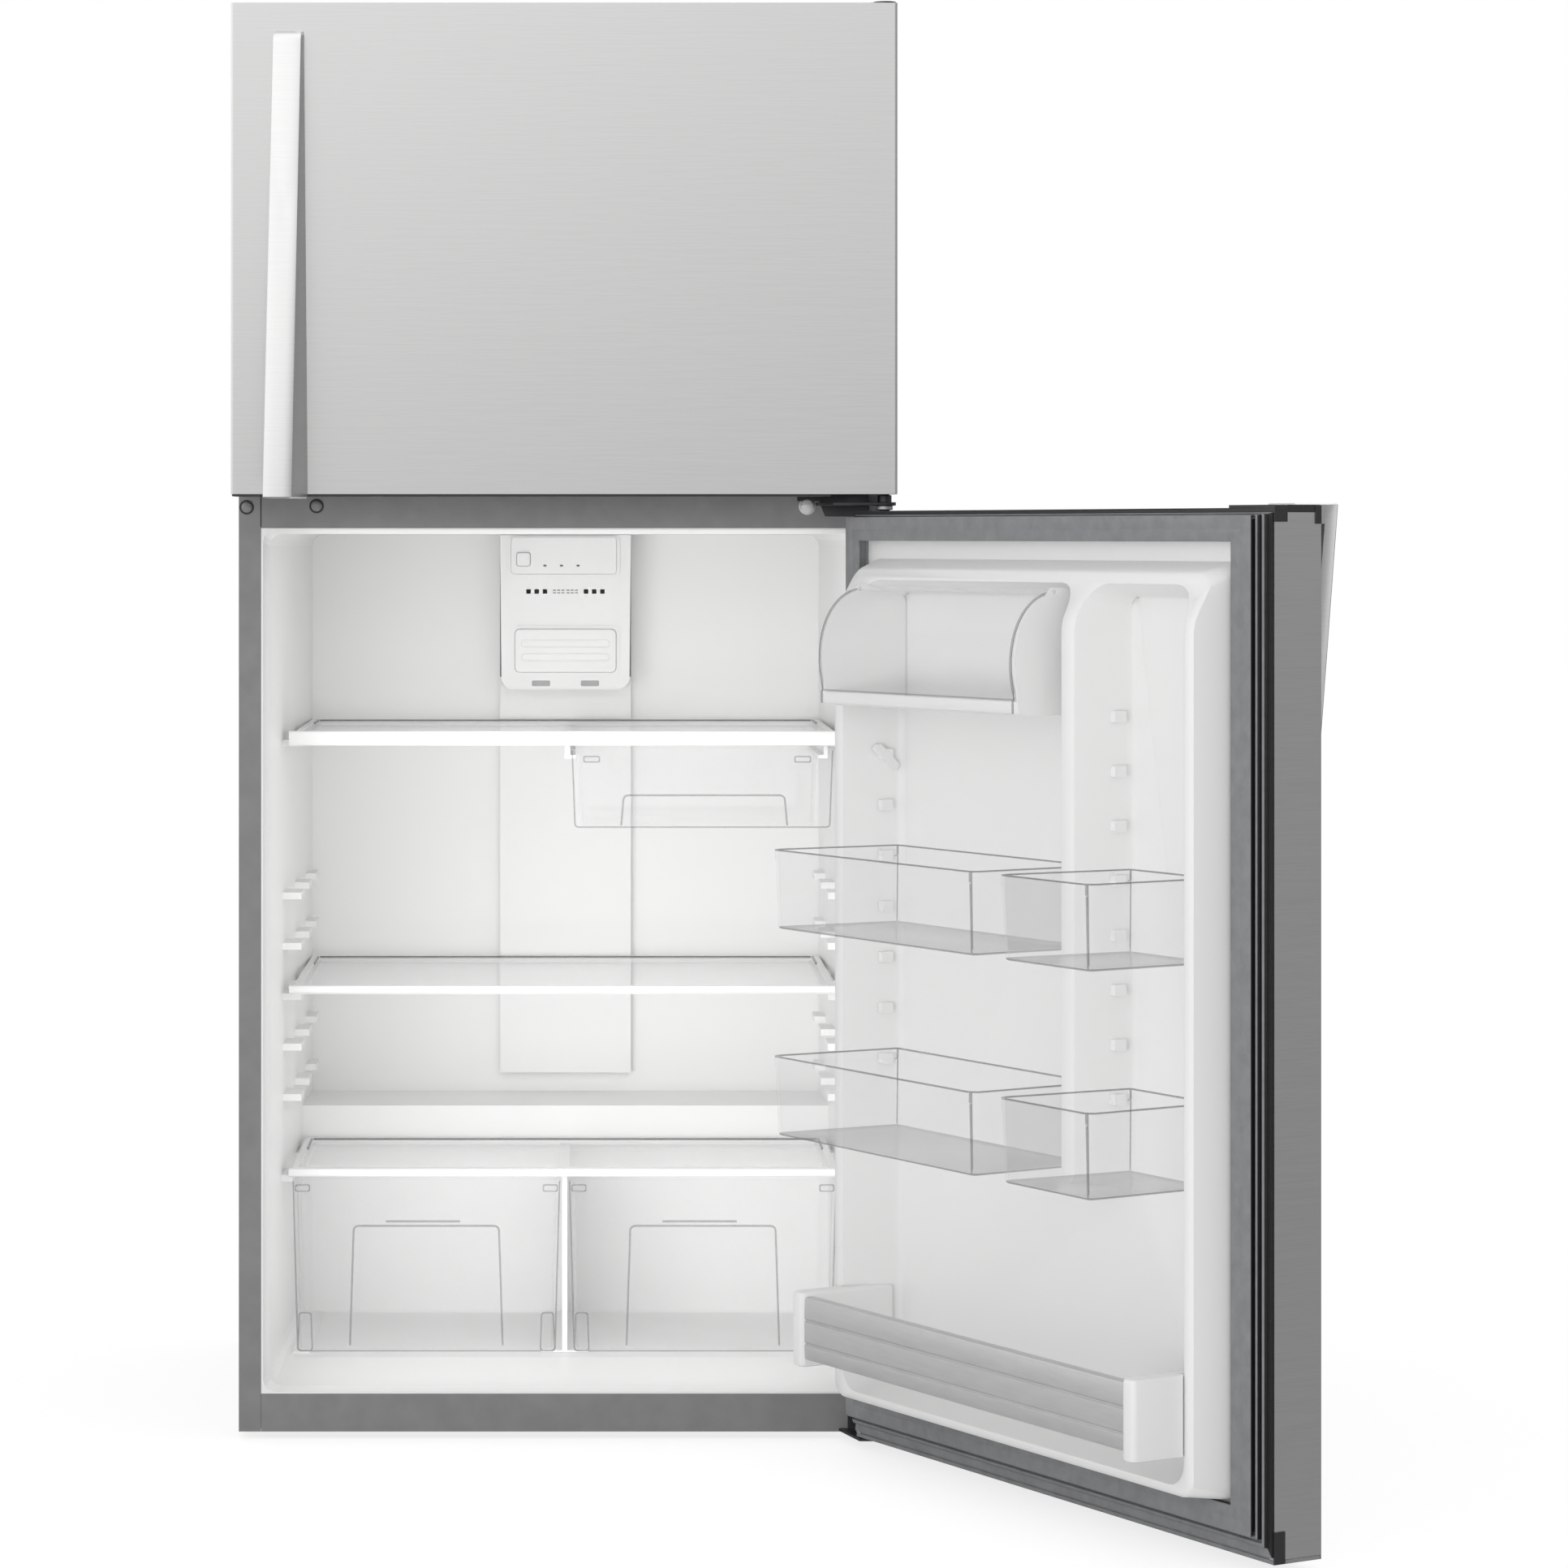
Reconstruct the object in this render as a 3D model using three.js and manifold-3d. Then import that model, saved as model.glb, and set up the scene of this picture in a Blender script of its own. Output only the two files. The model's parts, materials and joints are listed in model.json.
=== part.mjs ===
// A 30-inch top freezer refrigerator, in millimetres, +Z up, with its front towards -Y.
// It stands with the freezer door shut and the fresh food door open, as in a shop window.
// Every piece is modelled where it lies with both doors shut: x = 0 is the middle of the cabinet,
// y = 0 the front of the shut doors and z = 0 the floor. Nested groups then swing the open door.
import * as THREE from "three";
import { mergeVertices } from "three/addons/utils/BufferGeometryUtils.js";
import Module from "manifold-3d";

const wasm = await Module();
wasm.setup();

// ---------------------------------------------------------------- driving dimensions

const TOUCH = 0.3; // gap between pieces that rest on each other
const SHEET = 1; // painted steel sheet
const PLASTIC = 2; // formed liner sheet

const CABINET_WIDTH = 749;
const CABINET_DEPTH = 650;
const CABINET_HEIGHT = 1635.7;
const FLOOR_GAP = 8; // floor to cabinet bottom
const FLANGE = 25.5; // front face of the cabinet's folded edge
const RAIL_DEPTH = 20;
const RAIL_SHEET = 1.2;
const BOTTOM_RAIL_HEIGHT = 43.4;
const MULLION_BOTTOM = 1047.7; // floor to the rail between the compartments
const MULLION_HEIGHT = 52.3;

const DOOR_OVERHANG = 3.5; // the doors' sides past the cabinet's
const DOOR_STEEL = 61; // depth of the doors' steel wrap
const DOOR_STAND = 80; // door front to cabinet front
const DOOR_LIP = 8;
const DOOR_EDGE_RADIUS = 3;
const CAP_THICKNESS = 4.5;
const CAP_PLUG = 12;
const CAP_SETBACK = 3;
const FRIDGE_DOOR_RISE = 5; // cabinet bottom to door bottom
const FRIDGE_DOOR_LAP = 19.3; // door top over the mullion rail
const DOOR_SPACING = 19; // between the two doors
const FREEZER_DOOR_DROP = 0.7; // cabinet top to door top
const GASKET_WIDTH = 26;
const GASKET_INSET = 10;
const GASKET_BELOW = 27; // fresh food door's bottom edge to its gasket
const GASKET_ABOVE = 7.4;
const FREEZER_GASKET_BELOW = 4;
const FREEZER_GASKET_ABOVE = 8;
const DOOR_OPEN = 119.85; // degrees that the fresh food door stands open

const HINGE_INSET = 12.7; // pin axis from the door's hinge edge
const HINGE_DEPTH = 31.3; // pin axis behind the door front
const PIN_RADIUS = 5;
const PIN_CLEARANCE = 0.8;
const PIN_REACH = 11;
const HINGE_PLATE = 3;

const LINER_MOUTH_FLARE = 15;
const THROAT_WALL = 34.5; // cabinet side to liner, at the throat
const BACK_WALL = 50.5; // cabinet side to liner, at the back
const LINER_CORNER = 14;
const FRESH_BACK_FOAM = 54; // cabinet back to liner
const FREEZER_BACK_FOAM = 60;
const FRESH_CEILING_DROP = 6.7; // mullion rail to ceiling
const FREEZER_FLOOR_RISE = 8;
const FREEZER_CEILING_DROP = 36.7;
const THROAT_FLOOR_RISE = 6.6; // bottom rail to the floor's front
const FRESH_FLOOR_RISE = 18.2;
const FRESH_RAMP_DEPTH = 135; // cabinet front to where the floor levels out
const HUMP_DEPTH = 207; // cabinet back to the step over the compressor
const HUMP_TOP = 328;
const FOAM_AT_STEP = 40;

const SHELF_SETBACK = 162; // cabinet front to the shelves' front
const SHELF_BACK_GAP = 15;
const SHELF_TRIM = 10; // depth of a shelf's front trim
const SHELF_TRIM_OVER = 3.5; // how far a shelf's front trim reaches past its sides
const SHELF_RIM = 8;
const SHELF_RING = 14;
const GLASS = 4;
const UPPER_SHELF_TOP = 804;
const UPPER_TRIM_RISE = 3;
const UPPER_TRIM_HEIGHT = 17.4;
const LOWER_SHELF_TOP = 502.3;
const LOWER_TRIM_RISE = 2.6;
const LOWER_TRIM_HEIGHT = 9;
const COVER_TOP = 288.7;
const COVER_AHEAD = 7; // the crisper cover's front ahead of the shelves'
const COVER_TRIM_HEIGHT = 9.4;

const CRISPER_BEHIND = 3; // the drawers' fronts behind the cover's
const CRISPER_HEADROOM = 12; // drawer to the cover's top
const CRISPER_GAP = 10; // between the two crisper drawers
const RUNNER = 2.4;
const TUB_WALL = 2.5;
const TUB_DRAFT = 3;
const DELI_LEFT = 8;
const DELI_SETBACK = 3;
const DELI_UNDER = 112; // shelf top to the deli drawer's bottom
const DELI_HEIGHT = 94.5;
const DELI_SIDE = 12.5; // how far the front covers the hanger on its right

const RECESS_FLOOR = 50; // depth of the door liner's recess floor behind the door front
const DYKE_CREST = 115; // depth of the door liner's raised rim
const DYKE_INSET = 44; // door edge to the rim's crest
const DYKE_WIDTH = 18;
const DYKE_DRAFT = 7;
const RECESS_DRAFT = 14;
const RECESS_BELOW_TOP = 78; // door top to the recess
const RECESS_ABOVE_BOTTOM = 71;
const RIB_RIGHT = -99; // the rib between the wide and narrow bins
const RIB_WIDTH = 24;
const RIB_BELOW_LUGS = 92.5;
const RIB_DRAFT = 10;
const LUGS_BELOW_RECESS = 132.5; // recess top to the first lug
const LUG_PITCH = 57;
const LUG_ROWS = 8;
const LUG_HEIGHT = 8;
const LUG_REACH = 5;
const LUG_DEPTH = [70, 78];

const BIN_FRONT = 228;
const BIN_BACK = 62;
const BIN_HEIGHT = 88;
const BIN_RISE = 7; // a bin's rim above the lug that carries it
const BIN_WALL = 2.5;
const BIN_CORNER = 12;
const BIN_TAPER = 5; // how much narrower a bin is at its back, each side
const BIN_SIDE_GAP = 18; // rim's crest to a bin
const BIN_RIB_GAP = 7; // rib's crest to the wide bin
const NARROW_RIB_GAP = 12;
const UPPER_BIN_ROW = 3; // the lug row that carries the upper bins
const LOWER_BIN_ROW = 7;

const DAIRY_SIDE_GAP = 20;
const DAIRY_RIB_GAP = 22;
const DAIRY_WALL = 2.5;
const DAIRY_HINGE_IN = 3; // rim's crest to the cover's axis, in depth
const DAIRY_HINGE_DROP = 9; // recess top to the cover's axis
const DAIRY_LIP = 14;

const RETAINER_FRONT = 182;
const RETAINER_RISE = 39; // recess bottom to the bar
const RETAINER_HEIGHT = 70;
const BRACKET_WIDTH = 18;
const BRACKET_HEIGHT = 83;
const BRACKET_OVER = 4; // how far a bracket reaches out over the rim's crest
const RETAINER_SHEET = 4;

const HANDLE_LENGTH = 529;
const HANDLE_WIDTH = 33;
const HANDLE_PROUD = 55; // stand-off at the end next to the other door
const HANDLE_LOW = 12.5; // stand-off at the far end
const HANDLE_INSET = 40; // door edge to the bar, at the proud end
const HANDLE_LEAN = 8.3; // how far the bar leans out over its length
const HANDLE_WEB = 14.5; // how far the web slants in to the door
const HANDLE_OVERHANG = 5.2;
const HANDLE_FACE = 6;
const HANDLE_END = 22; // solid block at the proud end
const HANDLE_FOOT = 30; // solid foot at the far end

// ---------------------------------------------------------------- places that follow from them

const CAB_X = CABINET_WIDTH / 2;
const FRONT = DOOR_STAND;
const BACK = FRONT + CABINET_DEPTH;
const BOTTOM = FLOOR_GAP;
const TOP = BOTTOM + CABINET_HEIGHT;
const OPENING_X = CAB_X - FLANGE;
const MULLION_TOP = MULLION_BOTTOM + MULLION_HEIGHT;
const BOTTOM_RAIL_TOP = BOTTOM + BOTTOM_RAIL_HEIGHT;
const DOOR_X = CAB_X + DOOR_OVERHANG;
const HINGE_X = DOOR_X - HINGE_INSET;
const FRIDGE_DOOR_BOTTOM = BOTTOM + FRIDGE_DOOR_RISE;
const FRIDGE_DOOR_TOP = MULLION_BOTTOM + FRIDGE_DOOR_LAP;
const FREEZER_DOOR_BOTTOM = FRIDGE_DOOR_TOP + DOOR_SPACING;
const FREEZER_DOOR_TOP = TOP - FREEZER_DOOR_DROP;
const THROAT = FRONT + LINER_MOUTH_FLARE;
const MOUTH_HALF = OPENING_X - TOUCH - PLASTIC;
const LINER_THROAT_HALF = CAB_X - THROAT_WALL;
const LINER_BACK_HALF = CAB_X - BACK_WALL;
const FRESH_BACK = BACK - FRESH_BACK_FOAM;
const FRESH_CEILING = MULLION_BOTTOM - FRESH_CEILING_DROP;
const FRESH_CEILING_BACK = FRESH_CEILING - 1;
const FRESH_THROAT_FLOOR = BOTTOM_RAIL_TOP + THROAT_FLOOR_RISE;
const FRESH_FLOOR = BOTTOM_RAIL_TOP + FRESH_FLOOR_RISE;
const FRESH_RAMP_END = FRONT + FRESH_RAMP_DEPTH;
const HUMP_FRONT = BACK - HUMP_DEPTH;
const FREEZER_BACK = BACK - FREEZER_BACK_FOAM;
const FREEZER_FLOOR = MULLION_TOP + FREEZER_FLOOR_RISE;
const FREEZER_CEILING = TOP - FREEZER_CEILING_DROP;
const BASE_SHEET = 2;
const BASE_TOP = BOTTOM + BASE_SHEET;
const STEP_FRONT = HUMP_FRONT + PLASTIC + FOAM_AT_STEP;
const STEP_TOP = HUMP_TOP - PLASTIC - FOAM_AT_STEP;
const SHELF_HALF = LINER_BACK_HALF - 0.5;
const SHELF_FRONT = FRONT + SHELF_SETBACK;
const SHELF_BACK = FRESH_BACK - SHELF_BACK_GAP;
const COVER_FRONT = SHELF_FRONT - COVER_AHEAD;
const COVER_BACK = HUMP_FRONT - 3;
const CRISPER_OUTER = SHELF_HALF - 1;
const CRISPER_FRONT = COVER_FRONT + CRISPER_BEHIND;
const CRISPER_BOTTOM = FRESH_FLOOR + RUNNER + TOUCH;
const CRISPER_HEIGHT = COVER_TOP - CRISPER_HEADROOM - CRISPER_BOTTOM;
const DELI_RIGHT = SHELF_HALF - 4.5;
const DELI_FRONT = SHELF_FRONT + DELI_SETBACK;
const DELI_BOTTOM = UPPER_SHELF_TOP - DELI_UNDER;
const DELI_DEPTH = SHELF_BACK - DELI_FRONT - 41;
const LINER_FLANGE = DOOR_STEEL + TOUCH; // where the door liner's flange lies on the steel
const FLANGE_FACE = LINER_FLANGE + PLASTIC;
const GASKET_FACE = DOOR_STAND - TOUCH;
const CREST_OUTER = DOOR_X - DYKE_INSET;
const CREST_INNER = CREST_OUTER - DYKE_WIDTH;
const RECESS_TOP = FRIDGE_DOOR_TOP - RECESS_BELOW_TOP;
const RECESS_BOTTOM = FRIDGE_DOOR_BOTTOM + RECESS_ABOVE_BOTTOM;
const RIB_LEFT = RIB_RIGHT - RIB_WIDTH;
const LUG_TOP = RECESS_TOP - LUGS_BELOW_RECESS;
const RIB_END = LUG_TOP - (LUG_ROWS - 1) * LUG_PITCH - RIB_BELOW_LUGS;
const WIDE_BIN_RIGHT = CREST_INNER - BIN_SIDE_GAP;
const WIDE_BIN_LEFT = RIB_RIGHT + BIN_RIB_GAP;
const NARROW_BIN_RIGHT = RIB_LEFT - NARROW_RIB_GAP;
const NARROW_BIN_LEFT = BIN_SIDE_GAP - CREST_INNER;
const DAIRY_RIGHT = CREST_INNER - DAIRY_SIDE_GAP;
const DAIRY_LEFT = RIB_RIGHT + DAIRY_RIB_GAP;
const DAIRY_HINGE_DEPTH = DYKE_CREST - DAIRY_HINGE_IN;
const DAIRY_HINGE_HEIGHT = RECESS_TOP - DAIRY_HINGE_DROP;
const DAIRY_FLOOR = LUG_TOP - DAIRY_WALL;
const RETAINER_BOTTOM = RECESS_BOTTOM + RETAINER_RISE;

// ---------------------------------------------------------------- solids

// A closed geometry as a manifold-3d solid.
function solid(geometry) {
  const bare = geometry.clone();
  bare.deleteAttribute("normal");
  bare.deleteAttribute("uv");
  const merged = mergeVertices(bare, 1e-4);
  return new wasm.Manifold(
    new wasm.Mesh({
      numProp: 3,
      vertProperties: Float32Array.from(merged.attributes.position.array),
      triVerts: Uint32Array.from(merged.index.array),
    }),
  );
}

function join(...solids) {
  return solids.reduce((whole, next) => whole.add(next));
}

function cut(whole, ...tools) {
  return tools.reduce((left, tool) => left.subtract(tool), whole);
}

function box([x0, x1], [y0, y1], [z0, z1]) {
  const block = new THREE.BoxGeometry(x1 - x0, y1 - y0, z1 - z0);
  return solid(block.translate((x0 + x1) / 2, (y0 + y1) / 2, (z0 + z1) / 2));
}

// Turns a shape drawn in its own plane so that its depth runs along an axis. Outlines are given
// as [y, z] pairs along x, [x, z] pairs along y and [x, y] pairs along z.
const TURNED = {
  x: new THREE.Matrix4().set(0, 0, 1, 0, 1, 0, 0, 0, 0, 1, 0, 0, 0, 0, 0, 1),
  y: new THREE.Matrix4().set(0, 1, 0, 0, 0, 0, 1, 0, 1, 0, 0, 0, 0, 0, 0, 1),
  z: new THREE.Matrix4(),
};

// An outline's points in its own plane, counterclockwise.
function drawn(axis, outline) {
  const points = outline.map(([u, v]) => (axis === "y" ? new THREE.Vector2(v, u) : new THREE.Vector2(u, v)));
  return THREE.ShapeUtils.isClockWise(points) ? points.reverse() : points;
}

function prism(axis, outline, [from, to], ...holes) {
  const shape = new THREE.Shape(drawn(axis, outline));
  shape.holes = holes.map((hole) => new THREE.Path(drawn(axis, hole)));
  const body = new THREE.ExtrudeGeometry(shape, { depth: to - from, bevelEnabled: false });
  return solid(body.translate(0, 0, from).applyMatrix4(TURNED[axis]));
}

// A body between two outlines of as many points, one at each end of its axis.
function loft(axis, near, from, far, to) {
  const ends = [drawn(axis, near), drawn(axis, far)];
  const count = ends[0].length;
  const points = ends.flatMap((end, i) => end.map((p) => [p.x, p.y, i ? to : from]));
  const faces = [];
  for (const [a, b, c] of THREE.ShapeUtils.triangulateShape(ends[0], [])) {
    faces.push(a, c, b, a + count, b + count, c + count);
  }
  for (let i = 0; i < count; i++) {
    const j = (i + 1) % count;
    faces.push(i, j, j + count, i, j + count, i + count);
  }
  const body = new THREE.BufferGeometry();
  body.setAttribute("position", new THREE.Float32BufferAttribute(points.flat(), 3));
  body.setIndex(faces);
  return solid(body.applyMatrix4(TURNED[axis]));
}

function rod(axis, [u, v], [from, to], radius, sides = 12) {
  const turn = { x: [0, 0, -Math.PI / 2], y: [0, 0, 0], z: [Math.PI / 2, 0, 0] }[axis];
  const bar = new THREE.CylinderGeometry(radius, radius, to - from, sides);
  bar.applyMatrix4(new THREE.Matrix4().makeRotationFromEuler(new THREE.Euler(...turn)));
  const middle = (from + to) / 2;
  const place = { x: [middle, u, v], y: [u, middle, v], z: [u, v, middle] }[axis];
  return solid(bar.translate(...place));
}

// ---------------------------------------------------------------- outlines

function arc([cu, cv], radius, fromDegrees, toDegrees, steps) {
  return Array.from({ length: steps + 1 }, (_, i) => {
    const angle = THREE.MathUtils.degToRad(fromDegrees + ((toDegrees - fromDegrees) * i) / steps);
    return [cu + radius * Math.cos(angle), cv + radius * Math.sin(angle)];
  });
}

function rounded([u0, u1], [v0, v1], radius, steps = 3) {
  return [
    ...arc([u1 - radius, v0 + radius], radius, -90, 0, steps),
    ...arc([u1 - radius, v1 - radius], radius, 0, 90, steps),
    ...arc([u0 + radius, v1 - radius], radius, 90, 180, steps),
    ...arc([u0 + radius, v0 + radius], radius, 180, 270, steps),
  ];
}

function rectangle([u0, u1], [v0, v1]) {
  return [
    [u0, v0],
    [u1, v0],
    [u1, v1],
    [u0, v1],
  ];
}

function grown([low, high], by) {
  return [low - by, high + by];
}

function between(at, [a, valueA], [b, valueB]) {
  return valueA + ((valueB - valueA) * (at - a)) / (b - a);
}

// ---------------------------------------------------------------- scene graph

function look(color, roughness, metalness, opacity = 1) {
  const material = new THREE.MeshStandardMaterial({ color, roughness, metalness });
  material.transparent = opacity < 1;
  material.opacity = opacity;
  return material;
}

const STAINLESS = () => look(0xcfcfcd, 0.32, 0.9);
const GREY_PAINT = () => look(0x86888a, 0.5, 0.2);
const ZINC = () => look(0xb9bcc0, 0.35, 0.9);
const DARK_STEEL = () => look(0x3a3b3d, 0.45, 0.6);
const WHITE_LINER = () => look(0xf1f1ef, 0.35, 0);
const WHITE_PLASTIC = () => look(0xf5f5f3, 0.3, 0);
const DARK_PLASTIC = () => look(0x2b2c2e, 0.5, 0);
const GREY_RUBBER = () => look(0x7d7f81, 0.7, 0);
const CLEAR = () => look(0xe6ebec, 0.08, 0, 0.35);
const SHELF_GLASS = () => look(0xdfeae6, 0.04, 0, 0.3);
const FOAM = () => look(0xe4d9a8, 0.9, 0);
const ALUMINIUM = () => look(0xc8cacc, 0.4, 0.9);
const BLACK_PAINT = () => look(0x151617, 0.4, 0.1);

function piece(group, name, body, material) {
  const made = body.getMesh();
  const geometry = new THREE.BufferGeometry();
  geometry.setAttribute("position", new THREE.BufferAttribute(made.vertProperties, 3));
  geometry.setIndex(new THREE.BufferAttribute(made.triVerts, 1));
  geometry.computeVertexNormals();
  const mesh = new THREE.Mesh(geometry, material);
  mesh.name = name;
  group.add(mesh);
  return mesh;
}

// ---------------------------------------------------------------- cabinet shell

function wrapper() {
  const shell = box([-CAB_X, CAB_X], [FRONT, BACK], [BOTTOM, TOP]);
  const inside = box(grown([-CAB_X, CAB_X], -SHEET), [FRONT + SHEET, BACK + 1], [BOTTOM - 1, TOP - SHEET]);
  const mouth = box([-OPENING_X, OPENING_X], [FRONT - 1, FRONT + SHEET + 1], [BOTTOM - 1, TOP - FLANGE]);
  return cut(shell, inside, mouth);
}

// A folded front rail: a face with a return at its top and bottom.
function rail(low, high) {
  const section = [
    [FRONT, low],
    [FRONT + RAIL_DEPTH, low],
    [FRONT + RAIL_DEPTH, low + RAIL_SHEET],
    [FRONT + RAIL_SHEET, low + RAIL_SHEET],
    [FRONT + RAIL_SHEET, high - RAIL_SHEET],
    [FRONT + RAIL_DEPTH, high - RAIL_SHEET],
    [FRONT + RAIL_DEPTH, high],
    [FRONT, high],
  ];
  return prism("x", section, grown([-OPENING_X, OPENING_X], -TOUCH));
}

const WHEEL_RADIUS = 18;
const WHEEL_WIDTH = 22;
const WHEEL_X = 316;
const WHEEL_Y = STEP_FRONT + 35;
const AXLE_RADIUS = 4;
const EAR_SHEET = 3;
const EAR_HALF = 16;
const LEG_X = 300;
const LEG_Y = FRONT + 70;
const LEG_PAD_RADIUS = 16;
const LEG_STEM_RADIUS = 5;
const LEG_STEM_TOP = 34;
const LEG_CLEARANCE = 0.5;

// The floor of the cabinet, which steps up over the compressor at the back.
function basePan() {
  const front = FRONT + RAIL_DEPTH + TOUCH;
  const end = BACK - TOUCH;
  const section = [
    [front, BOTTOM],
    [end, BOTTOM],
    [end, BASE_TOP],
    [STEP_FRONT + BASE_SHEET, BASE_TOP],
    [STEP_FRONT + BASE_SHEET, STEP_TOP - BASE_SHEET],
    [end, STEP_TOP - BASE_SHEET],
    [end, STEP_TOP],
    [STEP_FRONT, STEP_TOP],
    [STEP_FRONT, BASE_TOP],
    [front, BASE_TOP],
  ];
  let pan = prism("x", section, grown([-CAB_X, CAB_X], -SHEET - TOUCH));
  for (const side of [-1, 1]) {
    const middle = side * WHEEL_X;
    const slot = grown([middle, middle], WHEEL_WIDTH / 2 + 1.5);
    pan = cut(pan, box(slot, grown([WHEEL_Y, WHEEL_Y], WHEEL_RADIUS + 2), [BOTTOM - 1, BASE_TOP + 1]));
    for (const edge of [slot[0] - EAR_SHEET, slot[1]]) {
      const ear = rectangle(grown([WHEEL_Y, WHEEL_Y], EAR_HALF), [BASE_TOP - 1, WHEEL_RADIUS + 10]);
      pan = join(pan, prism("x", ear, [edge, edge + EAR_SHEET]));
    }
    const legHole = LEG_STEM_RADIUS + LEG_CLEARANCE;
    pan = cut(pan, rod("z", [side * LEG_X, LEG_Y], [BOTTOM - 1, BASE_TOP + 1], legHole));
  }
  return cut(pan, rod("x", [WHEEL_Y, WHEEL_RADIUS], [-CAB_X, CAB_X], AXLE_RADIUS + TOUCH * 1.5));
}

function backPanel() {
  const panel = [BACK - SHEET - TOUCH, BACK - TOUCH];
  return box(grown([-CAB_X, CAB_X], -SHEET - TOUCH), panel, [STEP_TOP + TOUCH, TOP - SHEET - TOUCH]);
}

// A cavity that flares at its mouth and narrows to the back. Stations are
// [y, half width, floor, ceiling]; grow makes it larger all round and ahead lengthens its mouth.
function cavity(stations, grow, ahead) {
  const outline = ([, half, floor, ceiling]) =>
    rounded(grown([-half, half], grow), grown([floor, ceiling], grow), LINER_CORNER + grow);
  const last = stations.length - 1;
  const sections = stations.slice(1).map((station, i) => {
    const end = i + 1 === last ? station[0] + grow : station[0];
    return loft("y", outline(stations[i]), stations[i][0], outline(station), end);
  });
  if (ahead) {
    const mouth = stations[0][0];
    sections.push(prism("y", outline(stations[0]), [mouth - ahead, mouth]));
  }
  return join(...sections);
}

function freshStations() {
  const floor = BOTTOM_RAIL_TOP + TOUCH + PLASTIC;
  const ceiling = MULLION_BOTTOM - TOUCH - PLASTIC;
  const ramp = (near, far) => between(FRESH_RAMP_END, [THROAT, near], [FRESH_BACK, far]);
  return [
    [FRONT, MOUTH_HALF, floor, ceiling],
    [THROAT, LINER_THROAT_HALF, FRESH_THROAT_FLOOR, FRESH_CEILING],
    [
      FRESH_RAMP_END,
      ramp(LINER_THROAT_HALF, LINER_BACK_HALF),
      FRESH_FLOOR,
      ramp(FRESH_CEILING, FRESH_CEILING_BACK),
    ],
    [FRESH_BACK, LINER_BACK_HALF, FRESH_FLOOR, FRESH_CEILING_BACK],
  ];
}

// The fresh food space, with the step over the compressor taken out of it.
function freshSpace(grow, ahead = 0) {
  const hump = box([-CAB_X, CAB_X], [HUMP_FRONT + grow, BACK], [0, HUMP_TOP - grow]);
  return cut(cavity(freshStations(), grow, ahead), hump);
}

function freezerSpace(grow, ahead = 0) {
  const stations = [
    [FRONT, MOUTH_HALF, MULLION_TOP + TOUCH + PLASTIC, TOP - FLANGE - TOUCH - PLASTIC],
    [THROAT, LINER_THROAT_HALF, FREEZER_FLOOR, FREEZER_CEILING],
    [FREEZER_BACK, LINER_BACK_HALF, FREEZER_FLOOR, FREEZER_CEILING],
  ];
  return cavity(stations, grow, ahead);
}

function wallHalf(y, back) {
  return between(y, [THROAT, LINER_THROAT_HALF], [back, LINER_BACK_HALF]);
}

const LEDGE_HEIGHT = 8;
const LEDGE_LENGTH = 60;

// The stretch of x from a to b on one side of the middle, -1 left and +1 right.
function onSide(side, a, b) {
  return side < 0 ? [-b, -a] : [a, b];
}

// Blocks on both side walls whose ledges carry a shelf with its underside at z.
function ledges(z, reach, places) {
  const height = [z - TOUCH - LEDGE_HEIGHT, z - TOUCH];
  return [-1, 1].flatMap((side) =>
    places.map((y) => box(onSide(side, reach, CAB_X), grown([y, y], LEDGE_LENGTH / 2), height)),
  );
}

const SHELF_SEAT = 10; // how far a shelf's edge lies on its ledges
const SPARE_LEVELS = [-2, -1, 1, 2]; // ledges without a shelf, above and below the lower shelf
const SPARE_PITCH = 60;
const LEDGE_PLACES = [SHELF_FRONT + 50, (SHELF_FRONT + SHELF_BACK) / 2, SHELF_BACK - 60];
const COVER_PLACES = [COVER_FRONT + 40, COVER_BACK - 50];

function freshLiner() {
  const shell = cut(freshSpace(PLASTIC), freshSpace(0, 1));
  const seats = [UPPER_SHELF_TOP, LOWER_SHELF_TOP].map((z) => z - SHELF_RIM);
  const spare = SPARE_LEVELS.map((level) => LOWER_SHELF_TOP - SHELF_RIM + level * SPARE_PITCH);
  const reach = SHELF_HALF - SHELF_SEAT;
  const shelfLedges = [...seats, ...spare].flatMap((z) => ledges(z, reach, LEDGE_PLACES));
  const coverLedges = ledges(COVER_TOP - SHELF_RIM, CRISPER_OUTER + 1, COVER_PLACES);
  const runners = [-1, 1].map((side) =>
    box(onSide(side, CRISPER_OUTER - 20, CRISPER_OUTER), [CRISPER_FRONT, BACK], [0, FRESH_FLOOR + RUNNER]),
  );
  const raised = join(...shelfLedges, ...coverLedges, ...runners).intersect(freshSpace(PLASTIC / 2));
  return join(shell, raised);
}

const FREEZER_SHELF_Z = FREEZER_FLOOR + 232;

function freezerLiner() {
  const shell = cut(freezerSpace(PLASTIC), freezerSpace(0, 1));
  const raised = join(...ledges(FREEZER_SHELF_Z, FREEZER_SHELF_HALF - SHELF_SEAT, FREEZER_LEDGES));
  return join(shell, raised.intersect(freezerSpace(PLASTIC / 2)));
}

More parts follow.
